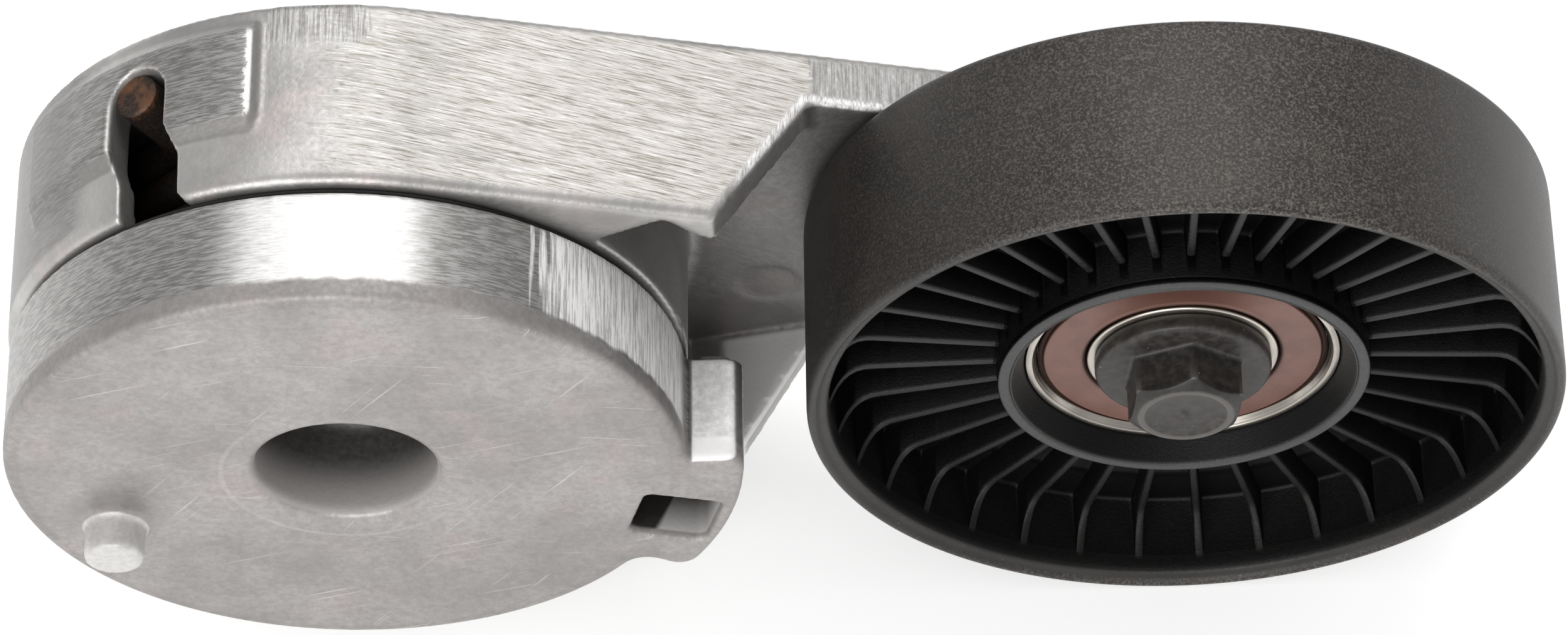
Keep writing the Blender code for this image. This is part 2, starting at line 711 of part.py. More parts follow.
def ribbed_pulley(parent):
    """Each rib has flat, parallel sides, and the plain section spans from one rib to the next."""
    bm = bmesh.new()
    parts = pulley_profile()
    loop = parts["rim"] + parts["rear"] + parts["hub"] + parts["front"]
    rear_first = len(parts["rim"])
    front_first = rear_first + len(parts["rear"]) + len(parts["hub"])
    ribs = (
        (rear_first, list(reversed(rib_edge(1.0)))),
        (front_first, rib_edge(-1.0)),
    )
    half = RIB_THICKNESS / 2

    def corner(point, side, angle):
        radius, y = point
        along = math.sqrt(radius * radius - half * half)
        x, z = turn((along, side * half), angle)
        return bm.verts.new((x, y, z))

    stations = []
    for k in range(RIB_COUNT):
        angle = RIB_PHASE + 360.0 * k / RIB_COUNT
        pair = [[corner(point, side, angle) for point in loop] for side in (-1.0, 1.0)]
        edges = [[[corner(point, side, angle) for point in edge] for side in (-1.0, 1.0)] for _, edge in ribs]
        stations.append((pair, edges))
    count = len(loop)
    rib_spans = {first + i for first, _ in ribs for i in range(3)}
    for k, (pair, edges) in enumerate(stations):
        low, high = pair
        following = stations[(k + 1) % RIB_COUNT][0][0]
        for i in range(count):
            j = (i + 1) % count
            bm.faces.new((high[i], high[j], following[j], following[i]))
            if i not in rib_spans:
                bm.faces.new((low[i], low[j], high[j], high[i]))
        for (first, _), (edge_low, edge_high) in zip(ribs, edges):
            last = first + 3
            chains = []
            for section, edge in ((low, edge_low), (high, edge_high)):
                bm.faces.new(section[first : last + 1] + list(reversed(edge)))
                chains.append([section[first], *edge, section[last]])
            for i in range(len(chains[0]) - 1):
                bm.faces.new((chains[0][i], chains[0][i + 1], chains[1][i + 1], chains[1][i]))
    place(bm, "ribbed_pulley", BLACK_NYLON, parent)


def mirrored(half_profile):
    """A bearing section from its outer half: (radius, distance from the middle plane)."""
    far = [(radius, BEARING_MIDDLE + offset) for radius, offset in half_profile]
    near = [(radius, BEARING_MIDDLE - offset) for radius, offset in reversed(half_profile)]
    return far + [point for point in near if point not in far]


def groove(offset, side):
    return PITCH_RADIUS + side * math.sqrt(GROOVE_RADIUS**2 - offset**2)


def bearing(pulley_axis, arm_axis):
    segments = MIDDLE_ROUND
    half = BEARING_HALF_WIDTH
    outer_half = [
        *[(groove(depth, 1), depth) for depth in GROOVE_DEPTHS],
        (groove(GROOVE_DEPTHS[-1], 1), SEAL_STEP),
        (SEAL_STEP_RADIUS, SEAL_STEP),
        (BEARING_LIP_RADIUS, half),
        (BEARING_OUTER_RADIUS - BEARING_CHAMFER, half),
        (BEARING_OUTER_RADIUS, half - BEARING_CHAMFER),
    ]
    place(turned(mirrored(outer_half), segments), "bearing_outer_ring", BEARING_STEEL, pulley_axis)
    shoulder = math.sqrt(GROOVE_RADIUS**2 - (PITCH_RADIUS - INNER_SHOULDER_RADIUS) ** 2)
    inner_half = [
        *[(groove(depth, -1), depth) for depth in GROOVE_DEPTHS[:2]],
        (INNER_SHOULDER_RADIUS, shoulder),
        (INNER_SHOULDER_RADIUS, half),
        (BEARING_BORE_RADIUS + BEARING_CHAMFER, half),
        (BEARING_BORE_RADIUS, half - BEARING_CHAMFER),
    ]
    place(turned(mirrored(inner_half), segments), "bearing_inner_ring", BEARING_STEEL, arm_axis)
    seal_low = half - BEARING_SEAL_INSET - BEARING_SEAL_THICKNESS
    for name, offset in (("bearing_seal_front", BEARING_SEAL_INSET - half), ("bearing_seal_rear", seal_low)):
        low = BEARING_MIDDLE + offset
        high = low + BEARING_SEAL_THICKNESS
        ring(name, INNER_SHOULDER_RADIUS + GAP, BEARING_SEAL_RADIUS, low, high, SEAL_RUBBER, pulley_axis)
    low, high = FLANGE_REAR + GAP, BOSS_NEAR - GAP
    ring("bearing_spacer", BOLT_RADIUS + GAP, SPACER_RADIUS, low, high, PLATED_STEEL, arm_axis)


def ball_set(cage_axis):
    """The snap-in cage, open on its rear side, and its balls."""
    low, high = BEARING_MIDDLE - CAGE_FRONT, BEARING_MIDDLE + CAGE_REAR
    cage = ring("bearing_cage", CAGE_INNER_RADIUS, CAGE_OUTER_RADIUS, low, high, BUSHING_NYLON, cage_axis)
    for k in range(BALL_COUNT):
        angle = 360.0 * k / BALL_COUNT
        combine(cage, ball_pocket(angle), "DIFFERENCE")
        bm = bmesh.new()
        bmesh.ops.create_icosphere(bm, subdivisions=2, radius=BALL_RADIUS)
        x, z = polar(PITCH_RADIUS, angle)
        bmesh.ops.translate(bm, vec=(x, BEARING_MIDDLE, z), verts=bm.verts)
        place(bm, f"bearing_ball_{k + 1}", BEARING_STEEL, cage_axis)


def ball_pocket(angle):
    """A round hole that runs outwards through the cage."""
    radius = BALL_RADIUS + GAP
    sides = 12
    sections = []
    for along in (CAGE_INNER_RADIUS - SUNK, CAGE_OUTER_RADIUS + SUNK):
        section = []
        for i in range(sides):
            across, rise = polar(radius, 360.0 * (i + 0.5) / sides)
            x, z = turn((along, across), angle)
            section.append((x, BEARING_MIDDLE + rise, z))
        sections.append(section)
    return loft(sections)


def pulley_bolt(arm_axis):
    """A hexagon flange bolt: its shank screws into the arm's boss."""
    shank = [
        (0.0, FLANGE_FRONT - FLANGE_RISE),
        (FLANGE_TOP_RADIUS, FLANGE_FRONT - FLANGE_RISE),
        (FLANGE_RADIUS, FLANGE_FRONT),
        (FLANGE_RADIUS, FLANGE_REAR),
        (BOLT_RADIUS, FLANGE_REAR),
        (BOLT_RADIUS, BOLT_END - BOLT_CHAMFER),
        (BOLT_RADIUS - BOLT_CHAMFER, BOLT_END),
        (0.0, BOLT_END),
    ]
    bolt = place(turned(shank, SMALL_ROUND), "pulley_bolt", PHOSPHATE_STEEL, arm_axis)
    corner_radius = HEX_ACROSS_FLATS / 2 / math.cos(math.radians(30))
    sections = []
    for y, radius in (
        (HEX_FRONT, HEX_TIP_RADIUS),
        (HEX_FRONT + HEX_BEVEL, corner_radius),
        (FLANGE_FRONT, corner_radius),
    ):
        points = [polar(radius, HEX_CORNER_ANGLE + 60.0 * i) for i in range(6)]
        sections.append([(x, y, z) for x, z in points])
    combine(bolt, loft(sections), "UNION")


def main():
    clear_scene()
    pivot_axis = axis_empty("arm_pivot_axis", 0.0)
    bolt_axis = axis_empty("pulley_bolt_axis", CENTRE_DISTANCE, pivot_axis)
    pulley_axis = axis_empty("pulley_spin_axis", CENTRE_DISTANCE, pivot_axis)
    cage_axis = axis_empty("cage_spin_axis", CENTRE_DISTANCE, pivot_axis)
    base_housing()
    washers_and_bushings(pivot_axis)
    torsion_spring()
    tensioner_arm(pivot_axis)
    ribbed_pulley(pulley_axis)
    bearing(pulley_axis, bolt_axis)
    ball_set(cage_axis)
    pulley_bolt(bolt_axis)


main()
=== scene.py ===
"""Belt tensioner idler: fine surfaces, materials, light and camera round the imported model.

Shapes are written in millimetres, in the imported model's own frame. Y runs along the two parallel axes,
away from the mounting face at y = 0. X runs from the pivot to the pulley, and Z is up.
Turned shapes are lists of (radius, y), and flat outlines are lists of (x, z).
"""

import math

import bmesh
import bpy
from mathutils import Matrix, Vector


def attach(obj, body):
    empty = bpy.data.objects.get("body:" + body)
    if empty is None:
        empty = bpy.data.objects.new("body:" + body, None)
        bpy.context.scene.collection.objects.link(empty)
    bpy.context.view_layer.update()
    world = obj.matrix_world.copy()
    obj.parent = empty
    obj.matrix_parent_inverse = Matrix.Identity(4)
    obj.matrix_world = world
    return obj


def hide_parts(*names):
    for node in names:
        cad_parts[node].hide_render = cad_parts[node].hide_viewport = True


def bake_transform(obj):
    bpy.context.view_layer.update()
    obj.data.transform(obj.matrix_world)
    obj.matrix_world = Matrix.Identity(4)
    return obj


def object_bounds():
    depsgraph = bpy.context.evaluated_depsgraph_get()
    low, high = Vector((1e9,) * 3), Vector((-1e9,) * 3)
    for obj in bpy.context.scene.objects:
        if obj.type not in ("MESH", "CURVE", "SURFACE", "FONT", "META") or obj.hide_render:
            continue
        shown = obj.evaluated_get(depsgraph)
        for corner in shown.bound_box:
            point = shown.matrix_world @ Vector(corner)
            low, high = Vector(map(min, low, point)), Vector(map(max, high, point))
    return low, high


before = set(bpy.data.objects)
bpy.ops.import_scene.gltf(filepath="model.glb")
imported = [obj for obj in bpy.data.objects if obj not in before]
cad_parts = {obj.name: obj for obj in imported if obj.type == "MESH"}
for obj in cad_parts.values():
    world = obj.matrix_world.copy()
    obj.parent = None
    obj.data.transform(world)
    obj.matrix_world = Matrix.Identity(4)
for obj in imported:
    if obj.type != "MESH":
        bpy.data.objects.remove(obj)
CAD_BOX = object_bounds()

MM = 0.001
PULLEY_X = 106.9
FULL = 360.0

CAMERA_PLACE = (72.95, -347.59, 617.19)
CAMERA_TURN = (30.831, 2.017, -0.744)
CAMERA_LENS = 128.23
HORIZON_LIGHT = 0.40
ZENITH_LIGHT = 0.62
SOFTBOX_POWER = 7.0
FILL_POWER = 17.0
FLOOR_GLOW = 0.36


def polar(radius, degrees, centre=(0.0, 0.0)):
    angle = math.radians(degrees)
    return (centre[0] + radius * math.cos(angle), centre[1] + radius * math.sin(angle))


def arc(radius, start, end, steps, centre=(0.0, 0.0)):
    return [polar(radius, start + (end - start) * i / steps, centre) for i in range(steps + 1)]


def turn(point, degrees, centre=(0.0, 0.0)):
    angle = math.radians(degrees)
    x, z = point
    return (
        centre[0] + x * math.cos(angle) - z * math.sin(angle),
        centre[1] + x * math.sin(angle) + z * math.cos(angle),
    )


def round_corners(points, steps=4):
    """Rounds an outline. Each point is (u, v) for a sharp corner or (u, v, radius) for a round one."""
    rounded = []
    count = len(points)
    for i, point in enumerate(points):
        corner = Vector(point[:2])
        radius = point[2] if len(point) > 2 else 0.0
        if radius <= 0.0:
            rounded.append(tuple(corner))
            continue
        before = Vector(points[i - 1][:2]) - corner
        after = Vector(points[(i + 1) % count][:2]) - corner
        half = before.angle(after) / 2
        if half > math.radians(88):
            rounded.append(tuple(corner))
            continue
        reach = min(radius / math.tan(half), before.length * 0.49, after.length * 0.49)
        radius = reach * math.tan(half)
        middle = (before.normalized() + after.normalized()).normalized()
        centre = corner + middle * (radius / math.sin(half))
        first = corner + before.normalized() * reach - centre
        last = corner + after.normalized() * reach - centre
        start = math.atan2(first.y, first.x)
        sweep = math.atan2(last.y, last.x) - start
        sweep = (sweep + math.pi) % (2 * math.pi) - math.pi
        for k in range(steps + 1):
            angle = start + sweep * k / steps
            rounded.append((centre.x + radius * math.cos(angle), centre.y + radius * math.sin(angle)))
    return rounded


def new_object(name, bm, smooth_below=40.0):
    """Turns a shape in millimetres into an object in metres."""
    bmesh.ops.remove_doubles(bm, verts=bm.verts, dist=1e-5)
    bmesh.ops.recalc_face_normals(bm, faces=bm.faces)
    bmesh.ops.scale(bm, vec=(MM, MM, MM), verts=bm.verts)
    mesh = bpy.data.meshes.new(name)
    bm.to_mesh(mesh)
    bm.free()
    mesh.shade_smooth()
    mesh.set_sharp_from_angle(angle=math.radians(smooth_below))
    obj = bpy.data.objects.new(name, mesh)
    bpy.context.scene.collection.objects.link(obj)
    return obj


def turned(profile, segments=160, centre_x=0.0, start=0.0, sweep=FULL):
    """A (radius, y) profile spun about an axis along Y. Its two ends are joined."""
    bm = bmesh.new()
    whole = sweep == FULL
    rings = []
    for k in range(segments if whole else segments + 1):
        angle = start + sweep * k / segments
        ring = []
        for radius, y in profile:
            x, z = polar(radius, angle, (centre_x, 0.0))
            ring.append(bm.verts.new((x, y, z)))
        rings.append(ring)
    count = len(profile)
    spans = segments if whole else len(rings) - 1
    for k in range(spans):
        low, high = rings[k], rings[(k + 1) % len(rings)]
        for i in range(count):
            j = (i + 1) % count
            if profile[i][0] == 0.0 and profile[j][0] == 0.0:
                continue
            bm.faces.new((low[i], low[j], high[j], high[i]))
    if not whole:
        bm.faces.new(rings[0])
        bm.faces.new(rings[-1])
    return bm


def loft(sections):
    """Joins outlines of equal length, each a list of (x, y, z), and caps both ends."""
    bm = bmesh.new()
    rings = [[bm.verts.new(point) for point in section] for section in sections]
    for low, high in zip(rings, rings[1:]):
        for i in range(len(low)):
            j = (i + 1) % len(low)
            bm.faces.new((low[i], low[j], high[j], high[i]))
    bm.faces.new(rings[0])
    bm.faces.new(rings[-1])
    return bm


def stack(levels):
    """Joins flat outlines, each given as (y, outline)."""
    return loft([[(x, y, z) for x, z in outline] for y, outline in levels])


def prism(outline, low, high):
    return stack([(low, outline), (high, outline)])


def side_prism(outline, low, high):
    return loft([[(x, y, z) for x, y in outline] for z in (low, high)])


def shifted(bm, x, y, z):
    bmesh.ops.translate(bm, vec=(x, y, z), verts=bm.verts)
    return bm


def radial_box(angle, inner, outer, width, low, high):
    half = width / 2
    corners = ((inner, -half), (outer, -half), (outer, half), (inner, half))
    return prism([turn(corner, angle) for corner in corners], low, high)


def combine(target, bm, operation):
    """Cuts a shape from an object or adds it, with a Boolean that settle() later applies."""
    tool = new_object("tool", bm)
    modifier = target.modifiers.new("combine", "BOOLEAN")
    modifier.operation = operation
    modifier.solver = "EXACT"
    modifier.object = tool


def settle(obj):
    """Applies an object's modifiers to its mesh, and removes their tools."""
    graph = bpy.context.evaluated_depsgraph_get()
    mesh = bpy.data.meshes.new_from_object(obj.evaluated_get(graph))
    tools = [m.object for m in obj.modifiers if m.type == "BOOLEAN"]
    obj.modifiers.clear()
    obj.data = mesh
    for tool in tools:
        bpy.data.objects.remove(tool, do_unlink=True)
    return obj


def as_cast(obj, voxel, rounding, triangles):
    """Gives a sharp solid the rounded edges and fillets of a die casting."""
    settle(obj)
    remesh = obj.modifiers.new("even", "REMESH")
    remesh.mode = "VOXEL"
    remesh.voxel_size = voxel * MM * 1.0
    remesh.use_smooth_shade = True
    soften = obj.modifiers.new("soften", "SMOOTH")
    soften.factor = 0.5
    soften.iterations = rounding
    settle(obj)
    count = sum(len(face.vertices) - 2 for face in obj.data.polygons)
    if count > triangles:
        thin = obj.modifiers.new("thin", "DECIMATE")
        thin.ratio = triangles / count
        settle(obj)
    obj.data.shade_smooth()
    return obj


# ---- base casting

BASE_RADIUS = 43.3
BASE_HEIGHT = 15.35
EAR_RADIUS = 50.6
EAR_FACE_Z = 0.5
EAR_END_ANGLE = -33.6
PIN_PLACE = (-30.9, -11.6)
HOLE_PLACE = (41.3, -14.1)


def base_outline(inset):
    """The round base with its ear, drawn in by inset."""
    base, ear = BASE_RADIUS - inset, EAR_RADIUS - inset
    face_z = EAR_FACE_Z - inset
    root = 1.2 + inset
    root_z = face_z + root
    root_angle = math.degrees(math.asin(root_z / (base + root)))
    corner = 1.8 - inset
    corner_angle = math.degrees(math.asin((face_z - corner) / (ear - corner)))
    end = 3.0 - inset
    end_angle = EAR_END_ANGLE + math.degrees(math.asin(3.0 / (ear - end)))
    fillet = 3.0 + inset
    fillet_angle = EAR_END_ANGLE - math.degrees(math.asin(3.0 / (base + fillet)))
    around = arc(base, fillet_angle, root_angle - FULL, 200)
    root_arc = arc(root, root_angle + 180.0, 270.0, 5, polar(base + root, root_angle))
    corner_arc = arc(corner, 90.0, corner_angle, 5, polar(ear - corner, corner_angle))
    ear_arc = arc(ear, corner_angle, end_angle, 20)
    end_arc = arc(end, end_angle, EAR_END_ANGLE - 90.0, 8, polar(ear - end, end_angle))
    fillet_centre = polar(base + fillet, fillet_angle)
    fillet_arc = arc(fillet, EAR_END_ANGLE + 90.0, fillet_angle + 180.0, 8, fillet_centre)
    return around + root_arc[1:] + corner_arc + ear_arc[1:] + end_arc[1:] + fillet_arc[:-1]


def ring_sector(inner, outer, start, end, steps, inset=0.0):
    middle = (inner + outer) / 2
    trim = math.degrees(inset / middle)
    outside = arc(outer - inset, start - trim, end + trim, steps)
    return outside + arc(inner + inset, end + trim, start - trim, steps)


def base_casting():
    stations = [(-0.15, 1.1), (-0.05, 0.65), (0.2, 0.25), (0.55, 0.05), (0.9, -0.05), (1.6, 0.0)]
    stations += [(15.0, 0.0), (BASE_HEIGHT, 0.3)]
    base = new_object("base_casting", stack([(y, base_outline(inset)) for y, inset in stations]))
    cavity = [(15.0, 4.5, 2.0), (36.2, 4.5, 2.0), (36.2, 17.0), (15.0, 17.0)]
    combine(base, turned(round_corners(cavity)), "DIFFERENCE")
    post = [(0.0, 3.0), (15.0, 3.0), (15.0, 39.9, 0.5), (9.0, 39.9), (9.0, 43.6), (11.2, 44.1)]
    post += [(11.2, 44.5, 0.4), (10.0, 45.1, 0.6), (0.0, 45.1)]
    combine(base, turned(round_corners(post), 96), "UNION")
    pin = [(0.0, 2.0), (4.5, 2.0), (4.5, -0.5, 0.35), (3.9, -0.6, 0.2), (3.9, -5.4, 0.6), (0.0, -5.4)]
    combine(base, shifted(turned(round_corners(pin), 64), PIN_PLACE[0], 0.0, PIN_PLACE[1]), "UNION")
    levels = ((13.0, 0.0), (15.3, 0.0), (16.6, 0.35), (17.1, 0.6), (17.35, 1.1))
    tongue = [(y, ring_sector(44.4, 49.4, -1.8, EAR_END_ANGLE, 24, inset)) for y, inset in levels]
    combine(base, stack(tongue), "UNION")
    combine(base, radial_box(SPRING_END + 6.0, 28.0, 33.0, 5.0, 3.5, 11.0), "UNION")
    bore = [(0.0, -1.0), (13.3, -1.0), (13.3, -0.02), (12.2, 0.25, 0.8), (11.6, 1.3, 0.8)]
    bore += [(11.6, 13.2, 1.5), (9.6, 15.0, 2.0), (9.6, 19.0), (5.5, 22.0), (5.5, 47.0), (0.0, 47.0)]
    combine(base, turned(round_corners(bore), 128), "DIFFERENCE")
    half = 5.0
    corners = ((-half, -half, 0.9), (half, -half, 0.9), (half, half, 0.9), (-half, half, 0.9))
    square = [turn(corner, -16.0, HOLE_PLACE) for corner in round_corners(corners)]
    flared = [turn((1.07 * x, 1.07 * z), -16.0, HOLE_PLACE) for x, z in round_corners(corners)]
    combine(base, stack([(-1.0, flared), (0.0, flared), (1.0, square), (13.35, square)]), "DIFFERENCE")
    return as_cast(base, 0.5, 5, 190000)


# ---- arm casting

CUP_RADIUS = 43.6
END_RADIUS = 16.0
ARM_NEAR = 16.5
ARM_FAR = 42.85
WEB_NEAR = 35.0
CUP_FLOOR = 37.5
PAD_RADIUS = 44.9
WALL_ANGLE = math.degrees(math.acos((CUP_RADIUS - END_RADIUS) / PULLEY_X))


def arm_outline(inset):
    around = arc(CUP_RADIUS - inset, WALL_ANGLE, FULL - WALL_ANGLE, 180)
    return around + arc(END_RADIUS - inset, -WALL_ANGLE, WALL_ANGLE, 48, (PULLEY_X, 0.0))


def wall_z(x, depth):
    """The height at x of the plane that lies depth inside the upper side wall's outer face."""
    normal_x, normal_z = polar(1.0, WALL_ANGLE)
    return (CUP_RADIUS - depth - normal_x * x) / normal_z


def pocket_outline():
    """The open space between the cup's wall and the two side walls."""
    upper = [
        (*polar(43.6, 39.5), 0.8),
        (*polar(53.1, 37.2), 1.5),
        (45.6, wall_z(45.6, 4.4), 1.8),
        (48.6, wall_z(48.6, 5.3), 2.2),
        (52.0, wall_z(52.0, 4.9), 2.0),
        (64.5, wall_z(64.5, 4.7), 2.5),
    ]
    lower = [
        (64.5, -wall_z(64.5, 4.7), 2.5),
        (50.0, -wall_z(50.0, 4.9), 1.5),
        (*polar(51.3, -34.0), 0.8),
        (*polar(43.6, -34.05), 0.8),
    ]
    return round_corners(upper + lower, 5) + arc(CUP_RADIUS - 0.02, -33.0, 38.4, 30)


def arm_casting():
    stations = [(ARM_NEAR, 1.0), (16.75, 0.45), (17.4, 0.0), (42.3, 0.0), (42.7, 0.12), (ARM_FAR, 0.5)]
    arm = new_object("arm_casting", stack([(y, arm_outline(inset)) for y, inset in stations]))
    combine(arm, prism(pocket_outline(), ARM_NEAR - 1.0, WEB_NEAR), "DIFFERENCE")
    end = [(48.3, 15.0), (48.3, 16.6, 0.8), (60.2, WEB_NEAR, 1.6), (130.0, WEB_NEAR), (130.0, 15.0)]
    combine(arm, side_prism(round_corners(end, 5), -50.0, 50.0), "DIFFERENCE")
    boss = [(0.0, 26.0), (11.9, 26.0, 0.6), (13.4, 34.2, 1.5), (15.2, 35.6), (15.2, 37.0), (0.0, 37.0)]
    combine(arm, shifted(turned(round_corners(boss), 96), PULLEY_X, 0.0, 0.0), "UNION")
    pad = []
    end = [polar(43.5, 99.3), polar(41.0, 99.3)]
    for y, radius in ((24.2, 43.55), (26.8, PAD_RADIUS), (39.0, PAD_RADIUS), (40.6, 43.55)):
        pad.append((y, arc(radius, 150.0, 100.6, 40) + end + arc(41.0, 100.6, 150.0, 40)))
    combine(arm, stack(pad), "UNION")
    cavity = [(0.0, 15.5), (40.4, 15.5), (40.4, 16.4), (39.2, 17.6), (39.2, CUP_FLOOR, 2.0)]
    cavity += [(21.5, CUP_FLOOR, 2.0), (21.5, 20.0, 0.5), (17.5, 20.0, 0.5), (17.5, 40.0)]
    cavity += [(25.2, 40.0), (25.2, 42.0), (25.7, 43.4), (0.0, 43.4)]
    combine(arm, turned(round_corners(cavity)), "DIFFERENCE")
    combine(arm, slot_tool(), "DIFFERENCE")
    thread = [(0.0, 24.0), (6.2, 24.0), (6.2, 25.8), (5.2, 26.9)]
    thread += [(5.2, 41.0), (6.4, 42.2), (6.4, 43.4), (0.0, 43.4)]
    combine(arm, shifted(turned(thread, 48), PULLEY_X, 0.0, 0.0), "DIFFERENCE")
    mark = [(0.0, 33.0), (4.4, 33.0), (4.4, 35.25), (0.0, 35.25)]
    combine(arm, shifted(turned(mark, 48), 53.6, 0.0, -14.1), "DIFFERENCE")
    return as_cast(arm, 0.52, 5, 198000)


def slot_tool():
    """The slot for the spring's tang: a round head, then a jog to a mouth set over to the right."""
    left = [(127.05, 30.0), (127.1, 27.2), (126.3, 24.7), (125.1, 22.7), (124.5, 14.0)]
    right = [(111.5, 14.0), (112.8, 16.6), (113.7, 18.5), (114.0, 23.6), (114.9, 25.8), (115.5, 28.0)]
    head = [(121.3 - math.degrees(u / PAD_RADIUS), 32.7 + v) for u, v in arc(4.47, 0.0, 180.0, 12)]
    sections = []
    for radius in (36.0, 50.0):
        section = []
        for angle, y in right + head + left:
            share = (angle - 115.6) / (127.0 - 115.6)
            x, z = polar(radius, angle + (-0.17 + 0.62 * share) * (PAD_RADIUS - radius))
            section.append((x, y, z))
        sections.append(section)
    return loft(sections)


# ---- pulley

PULLEY_MIDDLE = 19.6
PULLEY_RADIUS = 48.2
RIM_INNER = 45.3
HUB_RADIUS = 23.8
HUB_FRONT = 9.35
HUB_REAR = 8.3
WEB_HALF = 1.6
RIB_COUNT = 35
RIB_PHASE = 6.64
RIB_HALF = 0.54
RIB_EDGE = 5.6
RIB_BEND = 39.5
RIB_RISE = 5.1
RECESS_RADII = [23.8, 23.95, 24.3, 25.5, 29.0, 33.0, 37.2, 37.4, 38.4, 38.6, 39.6]
RECESS_RADII += [40.8, 41.8, 42.7, 43.4, 44.0, 44.4, 44.75, 45.0, 45.15, 45.3]


def web_height(radius):
    """The recess floor between ribs, with a fillet at each wall and a faint raised ring."""
    height = WEB_HALF
    for wall in (HUB_RADIUS, RIM_INNER):
        near = max(0.0, 1.0 - abs(radius - wall) / 0.5)
        height += 0.5 * near * near
    return height + (0.14 if 37.3 < radius < 38.5 else 0.0)


def rib_height(radius):
    """A rib's free edge: flat, then sweeping out along the rim."""
    rise = max(0.0, (radius - RIB_BEND) / (RIM_INNER - RIB_BEND))
    return RIB_EDGE + RIB_RISE * rise**3


def half_section(floor, hub):
    """From the bearing bore, across one face of the pulley, to its rolling surface."""
    rim = [(20.25, 3.5), (20.3, 3.2), (20.45, 2.9), (21.75, 0.5), (21.92, 0.15), (22.02, 0.04)]
    rim += [(22.12, 0.06), (22.24, 0.24), (22.36, 0.06), (22.5, 0.0), (23.35, 0.02), (23.65, 0.12)]
    rim += [(HUB_RADIUS, 0.4), (HUB_RADIUS, 0.85), (23.62, 1.0), (23.62, 1.25), (HUB_RADIUS, 1.45)]
    path = [(radius, hub - drop) for radius, drop in rim]
    path += [(radius, floor(radius)) for radius in RECESS_RADII]
    path += [(RIM_INNER, 11.0), (45.36, 11.9), (45.5, 12.5), (45.75, 12.82), (46.1, 12.95)]
    path += [(46.4, 13.0), (46.7, 13.2), (46.95, 13.5), (47.2, 13.68), (47.5, 13.72), (47.8, 13.6)]
    return path + [(48.03, 13.32), (48.16, 12.9), (PULLEY_RADIUS, 12.2), (PULLEY_RADIUS, 4.0)]


def pulley():
    """A closed grid of lengthwise sections. Those at a rib step up its side and over its edge."""
    lower = [
        (RIB_HALF + 0.5, lambda r: web_height(r)),
        (RIB_HALF + 0.16, lambda r: web_height(r) + 0.1),
        (RIB_HALF + 0.04, lambda r: web_height(r) + 0.45),
        (RIB_HALF - 0.04, lambda r: rib_height(r) - 0.2),
        (RIB_HALF - 0.2, lambda r: rib_height(r) - 0.03),
    ]
    across = [(-t, floor) for t, floor in lower] + [(0.0, rib_height)] + lower[::-1]
    pitch = FULL / RIB_COUNT
    bm = bmesh.new()
    rings = []
    for k in range(RIB_COUNT):
        rib = RIB_PHASE + pitch * k
        columns = [(rib, t, floor) for t, floor in across]
        columns += [(rib + pitch * share, 0.0, web_height) for share in (0.25, 0.42, 0.58, 0.75)]
        for angle, t, floor in columns:
            front = [(r, PULLEY_MIDDLE - d) for r, d in half_section(floor, HUB_FRONT)]
            rear = [(r, PULLEY_MIDDLE + d) for r, d in half_section(floor, HUB_REAR)]
            ring = []
            for radius, y in front + rear[::-1]:
                x, z = polar(radius, angle + math.degrees(math.asin(t / radius)), (PULLEY_X, 0.0))
                ring.append(bm.verts.new((x, y, z)))
            rings.append(ring)
    for low, high in zip(rings, rings[1:] + rings[:1]):
        for i in range(len(low)):
            j = (i + 1) % len(low)
            bm.faces.new((low[i], low[j], high[j], high[i]))
    return new_object("pulley_moulding", bm, 50.0)


# ---- bearing, bolt and sleeve

BEARING_MIDDLE = 19.5
PITCH_RADIUS = 14.25
BALL_RADIUS = 3.37
GROOVE_RADIUS = 3.6
HEX_CORNER = 83.0


def both_sides(half):
    """A bearing section from one half, whose points are (radius, distance from the middle, rounding)."""
    far = [(p[0], BEARING_MIDDLE + p[1], *p[2:]) for p in half]
    near = [(p[0], BEARING_MIDDLE - p[1], *p[2:]) for p in half[::-1] if p[1] > 0.0]
    return far + near


def race(side):
    """The groove that the balls run in, from its deepest point outwards."""
    points = [(GROOVE_RADIUS * math.cos(a), GROOVE_RADIUS * math.sin(a)) for a in (0.0, 0.15, 0.3, 0.45, 0.6)]
    return [(PITCH_RADIUS + side * across, along) for across, along in points]


def at_pulley(name, profile, segments=192):
    return new_object(name, turned(round_corners(profile), segments, PULLEY_X))


def outer_ring():
    half = race(1) + [(17.22, 4.3), (18.5, 4.3), (18.6, 5.0, 0.1), (19.1, 5.8, 0.15)]
    half += [(19.25, 6.1, 0.1), (20.12, 6.1, 0.15)]
    return at_pulley("bearing_race_outer", both_sides(half))


def inner_ring():
    half = race(-1)[:4] + [(12.25, 2.9), (12.25, 6.0, 0.3), (8.5, 6.0, 0.4)]
    return at_pulley("bearing_race_inner", both_sides(half))


def bearing_seal(name, side):
    """A moulded disc: a thin lip at the inner ring, a flat face, and a groove round its edge."""
    half = [(12.35, 5.0, 0.1), (12.35, 5.45, 0.12), (12.7, 5.78, 0.3), (13.3, 5.62, 0.3)]
    half += [(17.7, 5.68, 0.2), (17.9, 5.2, 0.1), (18.3, 5.15, 0.1), (18.45, 5.3, 0.05)]
    half += [(18.5, 5.3), (18.5, 4.75), (12.8, 4.75)]
    return at_pulley(name, [(p[0], BEARING_MIDDLE + side * p[1], *p[2:]) for p in half])


